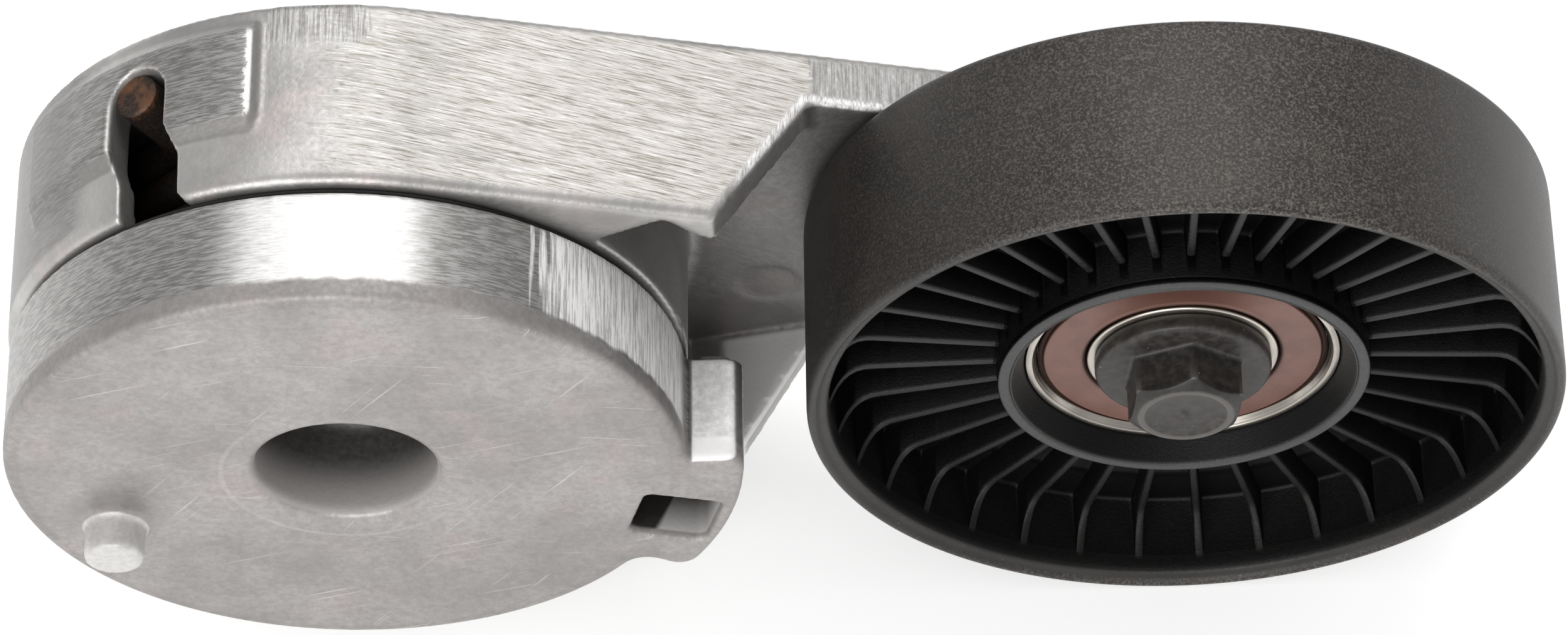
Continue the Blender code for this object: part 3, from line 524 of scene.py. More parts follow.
def cage():
    profile = [(13.4, 15.5, 0.3), (15.1, 15.5, 0.3), (15.1, 22.1, 0.2), (13.4, 22.1, 0.2)]
    ring = at_pulley("bearing_ball_cage", profile, 96)
    for k in range(8):
        hole = [(0.0, 10.0), (BALL_RADIUS + 0.25, 10.0), (BALL_RADIUS + 0.25, 18.0), (0.0, 18.0)]
        bm = turned(hole, 32)
        for degrees, axis in ((-90.0, "Z"), (-45.0 * k, "Y")):
            spin = Matrix.Rotation(math.radians(degrees), 3, axis)
            bmesh.ops.rotate(bm, cent=(0, 0, 0), matrix=spin, verts=bm.verts)
        combine(ring, shifted(bm, PULLEY_X, BEARING_MIDDLE, 0.0), "DIFFERENCE")
    settle(ring)
    ring.data.set_sharp_from_angle(angle=math.radians(40))
    return ring


def ball(number):
    x, z = polar(PITCH_RADIUS, 45.0 * (number - 1), (PULLEY_X, 0.0))
    half_circle = [(BALL_RADIUS * math.cos(a), BALL_RADIUS * math.sin(a)) for a in half_turn(24)]
    bm = shifted(turned(half_circle, 48), x, BEARING_MIDDLE, z)
    return new_object(f"bearing_steel_ball_{number}", bm)


def half_turn(steps):
    return [math.pi * (i / steps - 0.5) for i in range(steps + 1)]


def hexagon_radius(angle):
    """How far a hexagon's side is from its axis, with its corners a little rounded."""
    turned_by = math.radians((angle - HEX_CORNER) % 60.0 - 30.0)
    flat = 6.8 / math.cos(turned_by)
    return min(flat, 7.78 + 0.25 * (flat - 7.78)) if flat > 7.78 else flat


def bolt_section(reach):
    """The bolt's section where its hexagon's side is at reach: dish, chamfer, side, flange and shank."""
    edge = 5.12 + 0.70 * (reach - 6.35)
    path = [(0.0, 5.72), (0.4, 5.66), (0.7, 5.40), (2.4, 5.40), (3.6, 5.36), (4.5, 5.26), (5.0, 5.12)]
    path += [(5.3, 4.96), (5.55, 4.86), (5.85, 4.86), (6.1, 4.95), (6.35, 5.10)]
    path += [(6.35 + share * (reach - 6.35), 5.10 + share * (edge - 5.10)) for share in (0.3, 0.6, 0.85)]
    path += [(reach - 0.05, edge), (reach, edge + 0.12), (reach, 7.0), (reach, 9.0), (reach, 10.5)]
    path += [(reach + 0.08, 10.85), (reach + 0.3, 11.08), (reach + 0.6, 11.14), (9.2, 11.16)]
    path += [(10.2, 11.12), (10.7, 11.16), (11.0, 11.3), (11.2, 11.55), (11.3, 11.9), (11.3, 13.2)]
    path += [(11.2, 13.4), (11.0, 13.5), (5.0, 13.5), (5.0, 26.0)]
    for k in range(10):
        path += [(4.35, 26.4 + 1.5 * k), (5.0, 27.15 + 1.5 * k)]
    return path + [(4.1, 41.8), (0.0, 41.8)]


def bolt():
    """A hexagon flange bolt with a dished, chamfered head and rings for its thread."""
    bm = bmesh.new()
    columns = []
    for k in range(240):
        angle = 1.5 * k
        column = []
        for radius, y in bolt_section(hexagon_radius(angle)):
            x, z = polar(radius, angle, (PULLEY_X, 0.0))
            column.append(bm.verts.new((x, y, z)))
        columns.append(column)
    for low, high in zip(columns, columns[1:] + columns[:1]):
        for i in range(len(low) - 1):
            bm.faces.new((low[i], low[i + 1], high[i + 1], high[i]))
    return new_object("flange_bolt", bm, 48.0)


def sleeve():
    profile = [(5.3, 13.7, 0.2), (8.2, 13.7, 0.3), (8.2, 25.8, 0.3), (5.3, 25.8, 0.2)]
    return at_pulley("bearing_sleeve", profile)


# ---- pieces between the base and the arm

def ring(name, profile, segments=96, start=0.0, sweep=FULL):
    return new_object(name, turned(round_corners(profile), segments, 0.0, start, sweep))


def retaining_plate():
    profile = [(9.3, 41.6, 0.1), (24.2, 41.6, 0.3), (24.2, 43.8, 0.9), (13.2, 43.8, 0.3)]
    return ring("swaged_plate", profile + [(12.4, 43.5, 0.3), (9.3, 43.5)], 128)


def thrust_washer():
    profile = [(9.3, 40.3, 0.1), (23.6, 40.3, 0.2), (23.6, 41.3, 0.2), (9.3, 41.3, 0.1)]
    return ring("plate_washer", profile)


def pivot_bushing():
    profile = [(15.3, 20.0, 0.4), (17.2, 20.0, 0.3), (17.2, 39.8, 0.3), (15.3, 39.8, 0.4)]
    return ring("pivot_sleeve", profile)


def dust_seal():
    profile = [(34.2, 15.65, 0.1), (42.3, 15.65, 0.2), (42.3, 16.2, 0.2), (38.8, 16.2, 0.2)]
    profile += [(38.8, 18.0, 0.3), (37.6, 18.0, 0.3), (37.6, 16.2, 0.2), (34.2, 16.2, 0.1)]
    return ring("gap_seal", profile, 160)


def spring_seat():
    profile = [(26.6, 4.8, 0.3), (33.6, 4.8, 0.3), (33.6, 6.3, 0.3), (26.6, 6.3, 0.3)]
    return ring("coil_seat", profile, 96, SPRING_END + 20.0, 320.0)


def damping_bushing():
    profile = [(34.0, 4.8, 0.3), (35.8, 4.8, 0.3), (35.8, 14.5, 0.5), (34.0, 14.5, 0.3)]
    return ring("damper_ring", profile, 96, SPRING_END + 20.0, 335.0)


# ---- spring

TANG_ANGLE = 122.5
TANG_TIP = 43.7
BEND = 75.0
BEND_RADIUS = 5.5
COIL_RADIUS = 30.5
COIL_LOW = 9.5
COIL_HIGH = 34.2
COIL_TURNS = 4
WIRE_RADIUS = 2.95
SPRING_END = 132.5


def spring():
    """A round-wire coil, whose upper end turns outwards into the arm's slot. Its ends are cut square."""
    path = []
    steps = 72 * COIL_TURNS
    for i in range(steps + 1):
        share = i / steps
        x, z = polar(COIL_RADIUS, SPRING_END + FULL * COIL_TURNS * (1.0 - share))
        path.append(Vector((x, COIL_LOW + (COIL_HIGH - COIL_LOW) * share, z)))
    centre = polar(COIL_RADIUS + BEND_RADIUS, SPRING_END)
    for step in range(1, 13):
        x, z = polar(BEND_RADIUS, SPRING_END + 180.0 + BEND * step / 12, centre)
        path.append(Vector((x, COIL_HIGH, z)))
    x, z = polar(TANG_TIP, TANG_ANGLE)
    tip, last = Vector((x, COIL_HIGH, z)), path[-1]
    path += [last.lerp(tip, share) for share in (0.25, 0.5, 0.75, 1.0)]
    return new_object("coil_spring", swept(path, WIRE_RADIUS, 28))


def swept(path, radius, sides):
    """A round wire along a path, with a small chamfer at each end."""
    count = len(path)
    tangents = [(path[min(i + 1, count - 1)] - path[max(i - 1, 0)]).normalized() for i in range(count)]
    stations = [(path[i], tangents[i], radius) for i in range(count)]
    first, last = stations[0], stations[-1]
    bevel = 0.3
    start = [(first[0], first[1], radius - bevel), (first[0] + first[1] * bevel, first[1], radius)]
    end = [(last[0] - last[1] * bevel, last[1], radius), (last[0], last[1], radius - bevel)]
    bm = bmesh.new()
    rings = []
    for place, tangent, size in start + stations[1:-1] + end:
        side = tangent.cross(Vector((0.0, 1.0, 0.0))).normalized()
        up = side.cross(tangent)
        ring = []
        for k in range(sides):
            angle = 2 * math.pi * k / sides
            around = side * (size * math.cos(angle)) + up * (size * math.sin(angle))
            ring.append(bm.verts.new(place + around))
        rings.append(ring)
    for low, high in zip(rings, rings[1:]):
        for k in range(sides):
            bm.faces.new((low[k], low[(k + 1) % sides], high[(k + 1) % sides], high[k]))
    bm.faces.new(rings[0])
    bm.faces.new(rings[-1])
    return bm


# ---- materials

class Field:
    """A value, colour or place that varies over a surface: one output of a look's nodes."""

    def __init__(self, look, socket):
        self.look = look
        self.socket = socket

    def __add__(self, other):
        return self.look.calc("ADD", self, other)

    def __sub__(self, other):
        return self.look.calc("SUBTRACT", self, other)

    def __rsub__(self, other):
        return self.look.calc("SUBTRACT", other, self)

    def __mul__(self, other):
        return self.look.calc("MULTIPLY", self, other)


def either(first, *others):
    """The greatest of some values."""
    for other in others:
        first = first.look.calc("MAXIMUM", first, other)
    return first


def step(value, low, high, bottom=0.0, top=1.0):
    """Goes smoothly from bottom to top as value goes from low to high."""
    return value.look.make("MapRange", value, low, high, bottom, top, interpolation_type="SMOOTHSTEP")


def between(value, outside, start, end, beyond):
    """1 from start to end, going smoothly to 0 at outside and at beyond."""
    return step(value, outside, start) * step(value, beyond, end)


def mix(share, first, second):
    look = share.look
    node = look.add("Mix", share, data_type="RGBA")
    for index, value in ((6, first), (7, second)):
        look.feed(node.inputs[index], value)
    return Field(look, node.outputs[2])


class Look:
    """One node material. Its places are the piece's own coordinates in millimetres."""

    def __init__(self, name, **constants):
        self.material = bpy.data.materials.new(name)
        self.material.use_nodes = True
        self.tree = self.material.node_tree
        self.shader = self.tree.nodes["Principled BSDF"]
        for label, value in constants.items():
            self.shader.inputs[label.replace("_", " ")].default_value = value
        metres = Field(self, self.add("TexCoord").outputs["Object"])
        self.place = self.make("VectorMath", metres, (1000.0, 1000.0, 1000.0), operation="MULTIPLY")
        parts = self.add("SeparateXYZ", self.place).outputs
        self.x, self.y, self.z = [Field(self, part) for part in parts]

    def add(self, kind, *values, **settings):
        node = self.tree.nodes.new("ShaderNode" + kind)
        for key, value in settings.items():
            setattr(node, key, value)
        for socket, value in zip(node.inputs, values):
            self.feed(socket, value)
        return node

    def make(self, kind, *values, **settings):
        return Field(self, self.add(kind, *values, **settings).outputs[0])

    def feed(self, socket, value):
        if isinstance(value, Field):
            self.tree.links.new(value.socket, socket)
        elif value is not None:
            socket.default_value = value

    def calc(self, operation, first, second=None):
        return self.make("Math", first, second, operation=operation)

    def noise(self, stretch, detail=2.0, seed=0.0, roughness=0.5, place=None):
        """Noise from 0 to 1. Stretch is the grains in a millimetre, as one number or as (x, y, z)."""
        grains = (stretch,) * 3 if isinstance(stretch, float) else stretch
        shift = (seed, 1.7 * seed, -seed)
        vector = self.make("VectorMath", place or self.place, grains, shift, operation="MULTIPLY_ADD")
        node = self.add("TexNoise", vector)
        node.inputs["Scale"].default_value = 1.0
        node.inputs["Detail"].default_value = detail
        node.inputs["Roughness"].default_value = roughness
        return Field(self, node.outputs["Fac"])

    def turned(self, degrees, axis="Y_AXIS"):
        """The place turned about an axis, for streaks at an angle."""
        node = self.add("VectorRotate", self.place, rotation_type=axis)
        node.inputs["Angle"].default_value = math.radians(degrees)
        return Field(self, node.outputs[0])

    def around(self, centre_x=0.0):
        """The radius and the angle in degrees about an axis along Y."""
        x = self.x - centre_x
        return self.distance(centre_x, 0.0), self.calc("ARCTAN2", self.z, x) * (180.0 / math.pi)

    def distance(self, x, z):
        """How far a place is from a line along Y through (x, z)."""
        across = self.x - x
        up = self.z - z
        return self.calc("SQRT", across * across + up * up)

    def paint(self, share, colour):
        """Lays a colour over the surface so far, as far as share goes."""
        self.surface = mix(share, self.surface, colour)

    def finish(self, roughness, height, depth, metallic=None):
        """Feeds the shader. The surface is raised by height (0 to 1) times depth in millimetres."""
        bump = self.add("Bump")
        bump.inputs["Strength"].default_value = 1.0
        bump.inputs["Distance"].default_value = depth * MM
        self.feed(bump.inputs["Height"], height)
        self.feed(self.shader.inputs["Normal"], Field(self, bump.outputs["Normal"]))
        self.feed(self.shader.inputs["Base Color"], self.surface)
        self.feed(self.shader.inputs["Roughness"], roughness)
        self.feed(self.shader.inputs["Metallic"], metallic)
        return self.material


def grey(level, warm=0.0):
    return (level * (1.0 + warm), level, level * (1.0 - warm), 1.0)


CAST = grey(0.50, 0.03)
CAST_DARK = grey(0.36, 0.03)
CAST_ROSY = (0.53, 0.455, 0.45, 1.0)
SANDED = grey(0.72, 0.02)
BELT_BRIGHT = grey(0.60, 0.05)
BELT_DULL = (0.30, 0.285, 0.24, 1.0)
BELT_GLINT = grey(0.80, 0.01)
# Bright metal for scoring and scuffs, also used for painted highlights.
BRIGHT_METAL_AND_HIGHLIGHT = grey(0.95, 0.01)
BRUSHED = grey(0.50, 0.02)
GROOVE = grey(0.27, 0.04)
SKIN_SHADE = (0.2, 0.18, 0.176, 1.0)
BORE_MOUTH = (0.42, 0.4, 0.385, 1.0)
BORE_PAINTED_SHADE = (0.05, 0.046, 0.044, 1.0)
HOLE_PAINTED_SHADE = (0.022, 0.02, 0.019, 1.0)
END_SHADE = (0.17, 0.164, 0.158, 1.0)
POCKET_SHADE = (0.085, 0.08, 0.076, 1.0)
NYLON_BLACK = (0.008, 0.0068, 0.006, 1.0)
NYLON_BROWN = (0.018, 0.0152, 0.013, 1.0)
NYLON_DUST_AND_SHEEN = (0.15, 0.129, 0.112, 1.0)
RIB_DARK = (0.009, 0.0088, 0.0086, 1.0)
RIB_PALE = (0.023, 0.022, 0.021, 1.0)
HUB_FACE = (0.042, 0.042, 0.042, 1.0)
SPECK = (0.24, 0.19, 0.14, 1.0)
RECESS_PAINTED_SHADE = (0.014, 0.014, 0.014, 1.0)
PHOSPHATE_DARK = (0.03, 0.027, 0.025, 1.0)
PHOSPHATE_PALE = (0.062, 0.056, 0.051, 1.0)
HEAD_RIM = (0.155, 0.145, 0.135, 1.0)
HEAD_CUT = (0.02, 0.018, 0.017, 1.0)
HEAD_CORNER = (0.15, 0.14, 0.13, 1.0)
BRASSY_SPOT = (0.42, 0.34, 0.18, 1.0)
RUST_DARK = (0.018, 0.011, 0.008, 1.0)
RUST_ORANGE = (0.125, 0.052, 0.022, 1.0)
RUST_DUST = (0.13, 0.075, 0.05, 1.0)
WIRE_SHADE = (0.01, 0.008, 0.007, 1.0)
SEAL_DARK = (0.138, 0.066, 0.05, 1.0)
SEAL_PALE = (0.162, 0.078, 0.06, 1.0)
SEAL_SHADE = (0.095, 0.036, 0.022, 1.0)
SEAL_GROOVE_SHADE = (0.03, 0.012, 0.008, 1.0)


def cast_skin(look):
    """As-cast skin: soft grey clouds, some of them faintly rosy, with a fine grain."""
    clouds = look.noise(0.055, 4.0, 3.0, 0.6)
    blotches = look.noise(0.11, 3.0, 9.0)
    skin = mix(step(clouds, 0.35, 0.68), CAST_DARK, CAST)
    return mix(step(blotches, 0.56, 0.74, 0.0, 0.55), skin, CAST_ROSY)


def along_wall(look, seed):
    """Streaks that follow a wall round, one above the other."""
    return look.noise((0.42, 4.6, 0.42), 4.0, seed, 0.7)


def across_wall(look, seed):
    """Streaks that run across a wall, parallel to the axes."""
    return look.noise((3.8, 0.16, 3.8), 4.0, seed, 0.7)


def scratches(look, degrees, seed, fine=2.6, sparse=0.66):
    """A few long, thin scratches at one angle across the faces that are square to the axes."""
    lines = look.noise((0.045, 0.3, fine), 2.0, seed, 0.5, look.turned(degrees))
    where = look.noise(0.09, 1.0, seed + 5.0)
    return step(lines, sparse, sparse + 0.06) * step(where, 0.44, 0.6)


def base_look():
    look = Look("base_die_cast")
    x, y, z = look.x, look.y, look.z
    radius, angle = look.around()
    grain = look.noise(1.1, 4.0, 61.0, 0.7)
    skin = mix(step(grain, 0.3, 0.7, 0.55, 0.28), cast_skin(look), SKIN_SHADE)
    edge = look.noise(0.5, 3.0, 2.0)
    wall = between(radius, 42.5, 42.8, 43.6, 43.9) * step(y - edge * 1.2, 1.9, 2.9)

    rings = along_wall(look, 1.0)
    brushed = mix(step(rings, 0.41, 0.6), GROOVE, BRUSHED)
    # Painted highlight: the band of wall facing the overhead softbox, between about 68 and 108 degrees, is
    # painted near white.
    lit = between(angle, 68.0, 77.0, 99.0, 108.0)
    bright = mix(step(rings, 0.4, 0.56), SANDED, BRIGHT_METAL_AND_HIGHLIGHT)
    brushed = mix(lit * step(rings, 0.16, 0.4), brushed, bright)

    cross = across_wall(look, 4.0)
    ragged = angle + look.noise((0.9, 0.06, 0.9), 2.0, 6.0) * 22.0
    scored = step(ragged, 64.0, 59.0) * step(angle, 4.0, 9.0)
    brushed = mix(scored, brushed, mix(step(cross, 0.42, 0.54), BRUSHED, BRIGHT_METAL_AND_HIGHLIGHT))
    look.surface = mix(wall, skin, brushed)

    on_face = step(y, 0.35, 0.1)
    ways = ((18.0, 21.0), (-8.0, 33.0), (52.0, 45.0, 2.2, 0.69))
    fine = either(*[scratches(look, *way) for way in ways])
    look.paint(fine * on_face * 0.42, SANDED)
    ring = between(radius, 15.4, 15.7, 16.0, 16.3) * on_face * 0.14 * step(x + z, 8.0, -10.0)
    look.paint(ring, SANDED)
    stained = step(look.distance(-30.9, -9.0), 9.0, 3.5) * on_face * 0.55
    look.paint(stained, GROOVE)
    # Painted shade: the bore's wall is painted darker the deeper it goes.
    bore = step(radius, 12.6, 12.2) * between(y, 0.4, 0.9, 38.0, 39.0)
    painted_bore_shade = mix(step(y, 1.5, 9.5), BORE_MOUTH, BORE_PAINTED_SHADE)
    look.paint(bore, mix(step(grain, 0.3, 0.7, 0.0, 0.14), painted_bore_shade, GROOVE))
    # Painted shade: the square hole is painted darker towards its left side and deeper in.
    hole = step(look.distance(*HOLE_PLACE), 7.4, 7.1) * step(y, 0.7, 1.2)
    shade = either(step(x - y * 0.5, 38.6, 37.6), step(y, 1.0, 7.5))
    look.paint(hole, mix(shade, CAST, HOLE_PAINTED_SHADE))
    ear_face = between(z, 0.1, 0.35, 1.1, 1.4) * step(radius, 43.9, 44.3)
    look.paint(ear_face, mix(step(grain, 0.3, 0.7), SANDED, BRIGHT_METAL_AND_HIGHLIGHT))
    scuffed = ear_face * step(y, 3.9, 3.3) * step(cross, 0.3, 0.42)
    look.paint(scuffed, BRIGHT_METAL_AND_HIGHLIGHT)
    pin = step(look.distance(*PIN_PLACE), 4.6, 4.2) * step(y, -0.4, -0.7)
    look.paint(pin, mix(step(grain, 0.3, 0.7, 0.0, 0.5), CAST, SANDED))

    dull = either(bore, hole * 0.8, either(ear_face, pin) * 0.75, scored * wall)
    marks = mix(wall, look.noise(1.6, 3.0, 8.0), mix(scored, rings, cross))
    rounded = step(radius, 41.0, 41.6) * step(y, 2.9, 2.4) * 0.16
    roughness = step(marks, 0.2, 0.8, 0.36, 0.52) + rounded
    metallic = step(wall, 0.0, 1.0, 0.72, 1.0) * step(dull, 0.0, 1.0, 1.0, 0.15)
    return look.finish(roughness, marks, 0.045, metallic)


def arm_look():
    look = Look("arm_die_cast")
    x, y, z = look.x, look.y, look.z
    radius, angle = look.around()
    skin = cast_skin(look)
    rings = along_wall(look, 11.0)
    cross = across_wall(look, 14.0)

    slant_x, slant_z = polar(1.0, WALL_ANGLE)
    depth = x * slant_x + z * slant_z - CUP_RADIUS
    slope = (y - x * 1.546 + 58.1) * 0.543
    low_depth = x * slant_x + z * -slant_z - CUP_RADIUS
    around_cup = step(radius, CUP_RADIUS - 0.55, CUP_RADIUS - 0.3) * step(x, 12.0, 11.0)
    outer = either(step(either(depth, low_depth), -0.55, -0.3), around_cup)
    clear_of_edges = between(y, 17.6, 19.0, 41.4, 42.2)

    # The upper side wall is belt sanded: streaks along it that fade out raggedly towards the pivot.
    streaks = look.noise((0.11, 4.2, 0.11), 4.0, 17.0, 0.74, look.turned(6.0, "Z_AXIS"))
    dashes = look.noise((0.22, 5.4, 0.22), 3.0, 41.0, 0.7, look.turned(8.0, "Z_AXIS"))
    ragged = x + look.noise((0.1, 3.4, 0.1), 3.0, 19.0, 0.7, look.turned(4.0, "Z_AXIS")) * 26.0
    cover = step(x, 4.0, 30.0, 0.0, 0.2)
    bald = step(look.noise((0.05, 0.11, 0.05), 2.0, 23.0), 0.5, 0.66) * 0.12
    level = streaks + cover - bald
    shine = mix(step(level, 0.49, 0.57), CAST, BELT_BRIGHT)
    shine = mix(step(dashes, 0.5, 0.38), shine, BELT_DULL)
    shine = mix(step(dashes, 0.56, 0.66), shine, BELT_GLINT)
    sanded = step(ragged, 15.0, 17.5)
    on_flat = step(slope, 0.9, 1.5) * step(z, 10.0, 14.0)
    belted = outer * (sanded * on_flat * clear_of_edges)

    # A dark patch that the belt missed, at the far edge over the pivot.
    patch_x = x + look.noise((1.4, 0.2, 1.4), 2.0, 31.0) * 7.0
    patch_y = y + cross * 7.0
    patch = between(patch_x, -3.5, -2.5, 9.0, 10.0) * step(patch_y, 40.0, 41.0) * step(radius, 43.2, 43.4)

    # The cup's wall is brushed on the pad, left of the slot and at the end away from the pulley.
    brushed = mix(step(rings, 0.41, 0.6), GROOVE, BRUSHED)
    pad = step(angle, 100.3, 100.6) * step(radius, 44.5, 44.75)
    by_slot = step(angle, 132.0, 138.0) * step(y, 17.8, 19.5)
    end_side = step(look.calc("ABSOLUTE", angle), 146.0, 154.0) * step(y, 17.8, 20.5) * clear_of_edges
    left = either(pad, by_slot, end_side)

    look.surface = mix(belted, skin, shine)
    look.paint(patch, mix(step(cross, 0.4, 0.6), GROOVE, BRUSHED))

    # Painted shade: the pad's bevel and its end face are painted darker.
    bevel = between(radius, 43.6, 43.8, 44.6, 44.75) * step(y, 24.0, 24.4)
    bevel = bevel * step(y, 27.2, 26.9) * step(angle, 98.6, 99.0)
    end_face = step(radius, 43.6, 43.8) * between(angle, 98.6, 99.0, 100.4, 100.7)
    look.paint(either(bevel, end_face) * 0.75, GROOVE)
    look.paint(step(radius, 43.2, 43.5) * left, brushed)
    shadowed = step(radius, 43.0, 43.2) * step(angle, 128.0, 142.0) * step(y, 17.6, 19.0)
    look.paint(shadowed * 0.55, END_SHADE)

    # The wall beyond the slope is scored square to the streaks.
    jagged = look.noise((0.3, 1.5, 0.3), 3.0, 51.0, 0.65)
    far_x = x + jagged * 3.0
    far_y = y + cross * 4.0
    far = step(far_x, 61.8, 62.1) * step(far_y, 35.5, 36.5) * outer * clear_of_edges
    edge = either(slope, y - 35.0)
    lip = step(edge, 0.15, 0.5) * step(edge + cross * 4.5, 3.7, 3.2) * outer * step(x, 50.0, 53.0)
    look.paint(far, mix(step(cross, 0.36, 0.64), GROOVE, BRUSHED))
    # Painted light: the upward-facing inner face of the lower side wall is painted bright and made less
    # metallic.
    painted_lit_low_wall = step(z, -12.0, -16.0) * step(y, 34.6, 34.0) * step(low_depth, -2.6, -3.0)
    painted_lit_low_wall = painted_lit_low_wall * step(x, 46.0, 48.0) * step(radius, 45.0, 46.5)
    look.paint(painted_lit_low_wall * 0.9, BRIGHT_METAL_AND_HIGHLIGHT)
    # Painted highlight along the near edge of the lower side wall.
    highlight_low_edge = step(z, -12.0, -16.0) * step(y, 19.6, 18.2) * step(radius, 46.0, 47.5)
    look.paint(highlight_low_edge * step(x, 44.0, 46.0), BRIGHT_METAL_AND_HIGHLIGHT)
    look.paint(lip, mix(step(cross, 0.38, 0.5), BRUSHED, BRIGHT_METAL_AND_HIGHLIGHT))
    web = between(y, 33.6, 34.7, 35.6, 36.5) * step(radius, 44.6, 46.0)
    shaded = web * step(x, 46.0, 66.0, 0.5, 0.78) * (1.0 - outer)
    look.paint(shaded, POCKET_SHADE)
    ragged_edge = angle + look.noise((1.2, 1.6, 1.2), 3.0, 27.0, 0.65) * 3.4
    worn = step(ragged_edge, 103.3, 103.0) * step(angle, 100.35, 100.5) * step(radius, 44.5, 44.7)
    look.paint(worn, SANDED)

    worked = either(belted, left)
    marks = mix(belted, look.noise(1.4, 3.0, 8.0), streaks)
    marks = mix(left, marks, rings)
    roughness = step(marks, 0.2, 0.8, 0.34, 0.5)
    metallic = step(worked, 0.0, 1.0, 0.72, 1.0) * step(painted_lit_low_wall, 0.0, 1.0, 1.0, 0.1)
    return look.finish(roughness, marks, 0.05, metallic)


def nylon_look():
    """Glass-filled black nylon: a sparkling mould grain, dusty edges with a painted sheen, and recesses
    painted almost black as shade.
    """
    look = Look("moulded_black_nylon")
    x, y, z = look.x, look.y, look.z
    radius, _ = look.around(PULLEY_X)
    haze = look.noise(0.09, 3.0, 2.0)
    grain = look.noise(2.7, 3.0, 5.0, 0.85)
    look.surface = mix(step(haze, 0.3, 0.7), NYLON_BLACK, NYLON_BROWN)
    # Dust in the rim's grain, with a painted sheen: brightest across the pulley's middle, fading off to the
    # left and a little to the right.
    dust_and_sheen = step(radius, 46.2, 47.6) * step(grain, 0.44, 0.66) * step(x, 62.0, 108.0, 0.15, 1.0)
    look.paint(dust_and_sheen * step(x, 116.0, 150.0, 1.0, 0.4), NYLON_DUST_AND_SHEEN)
    in_recess = between(radius, 23.9, 24.2, 45.5, 45.75)
    rise = either(radius - RIB_BEND, 0.0) * (1.0 / (RIM_INNER - RIB_BEND))
    rib_edge = rise * rise * rise * -RIB_RISE + (PULLEY_MIDDLE - RIB_EDGE)
    # Painted shade: in the lower half, the rib edges near the rim fade into the near black painted on the
    # recess floors.
    fading = step(radius, 40.5, 43.5) * step(z, 4.0, -10.0) * 0.8
    below = either(step(y - rib_edge, 0.18, 0.5), fading)
    rib_edges = in_recess * (1.0 - below)
    look.paint(rib_edges, mix(step(grain, 0.35, 0.65), RIB_DARK, RIB_PALE))
    hub_face = between(radius, 22.0, 22.2, 23.7, 23.85) * step(y, 10.7, 10.5)
    look.paint(hub_face * 0.8, HUB_FACE)
    look.paint(step(look.noise(4.6, 0.0, 8.0), 0.86, 0.875), SPECK)
    # Painted shade: the recess floors, the hub's outer wall (but for a thin line), the lower part of the
    # bore's cone and the rib edges, more so towards the bottom, are painted near black.
    deep_recess_shade = in_recess * below * step(y, 27.0, 26.0) * step(z, -40.0, 0.0, 0.8, 0.93)
    hub_wall_shade = between(radius, 23.45, 23.55, 24.2, 24.3) * step(y, 10.35, 10.5)
    glint = between(y, 11.15, 11.25, 11.4, 11.5) * step(z, 17.0, 23.0)
    hub_wall_shade = hub_wall_shade * step(y, 27.0, 26.0) * (1.0 - glint)
    cone_shade = step(radius, 22.0, 21.8) * step(z, 2.0, -10.0) * step(y, 25.0, 24.0)
    dark = either(deep_recess_shade, hub_wall_shade, cone_shade * 0.85, rib_edges * step(z, 5.0, -15.0, 0.2, 0.55))
    look.paint(dark, RECESS_PAINTED_SHADE)
    roughness = step(grain, 0.3, 0.7, 0.36, 0.54)
    return look.finish(roughness, grain, 0.07, dark)


def turned_metal(name, bright, dark, rough, centre_x=0.0):
    """Ground or plated metal with rings from turning, and slight stains."""
    look = Look(name, Metallic=1.0)
    radius, _ = look.around(centre_x)
    rings = look.noise((3.0, 1.0, 0.0), 2.0, 3.0, 0.6, look.make("CombineXYZ", radius, look.y, 0.0))
    stains = look.noise(0.2, 3.0, 7.0)
    share = rings * 0.45 + stains * 0.55
    look.surface = mix(step(share, 0.35, 0.62), dark, bright)
    roughness = step(rings, 0.3, 0.7, rough, rough + 0.14)
    return look.finish(roughness, rings, 0.012)


def bolt_look():
    look = Look("dark_phosphate", Metallic=0.35)
    mottle = look.noise(0.8, 4.0, 4.0, 0.65)
    look.surface = mix(step(mottle, 0.35, 0.7), PHOSPHATE_DARK, PHOSPHATE_PALE)
    radius, _ = look.around(PULLEY_X)
    rim = between(radius, 5.15, 5.4, 6.0, 6.25) * step(look.y, 6.5, 6.0)
    look.paint(rim * 0.5, HEAD_RIM)
    cut = step(radius, 6.2, 6.4) * step(look.y, 6.6, 6.3)
    look.paint(cut * 0.5, HEAD_CUT)
    corner = between(radius, 7.45, 7.7, 8.0, 8.2) * step(look.y, 9.5, 6.0)
    look.paint(corner * 0.6, HEAD_CORNER)
    look.paint(step(look.noise(1.6, 1.0, 12.0), 0.78, 0.82), BRASSY_SPOT)
    roughness = step(mottle, 0.3, 0.7, 0.38, 0.52)
    return look.finish(roughness, mottle, 0.03)


def rust_look():
    look = Look("lightly_rusted_wire", Metallic=0.25)
    patches = look.noise(0.35, 4.0, 6.0, 0.65)
    grain = look.noise(2.4, 3.0, 1.0, 0.6)
    look.surface = mix(step(patches, 0.38, 0.62), RUST_DARK, RUST_ORANGE)
    look.paint(step(grain, 0.5, 0.75, 0.0, 0.6), RUST_DUST)
    radius, _ = look.around()
    look.paint(step(radius, 43.4, 42.2, 0.0, 0.9), WIRE_SHADE)
    roughness = step(grain, 0.3, 0.7, 0.42, 0.7)
    return look.finish(roughness, grain, 0.05)


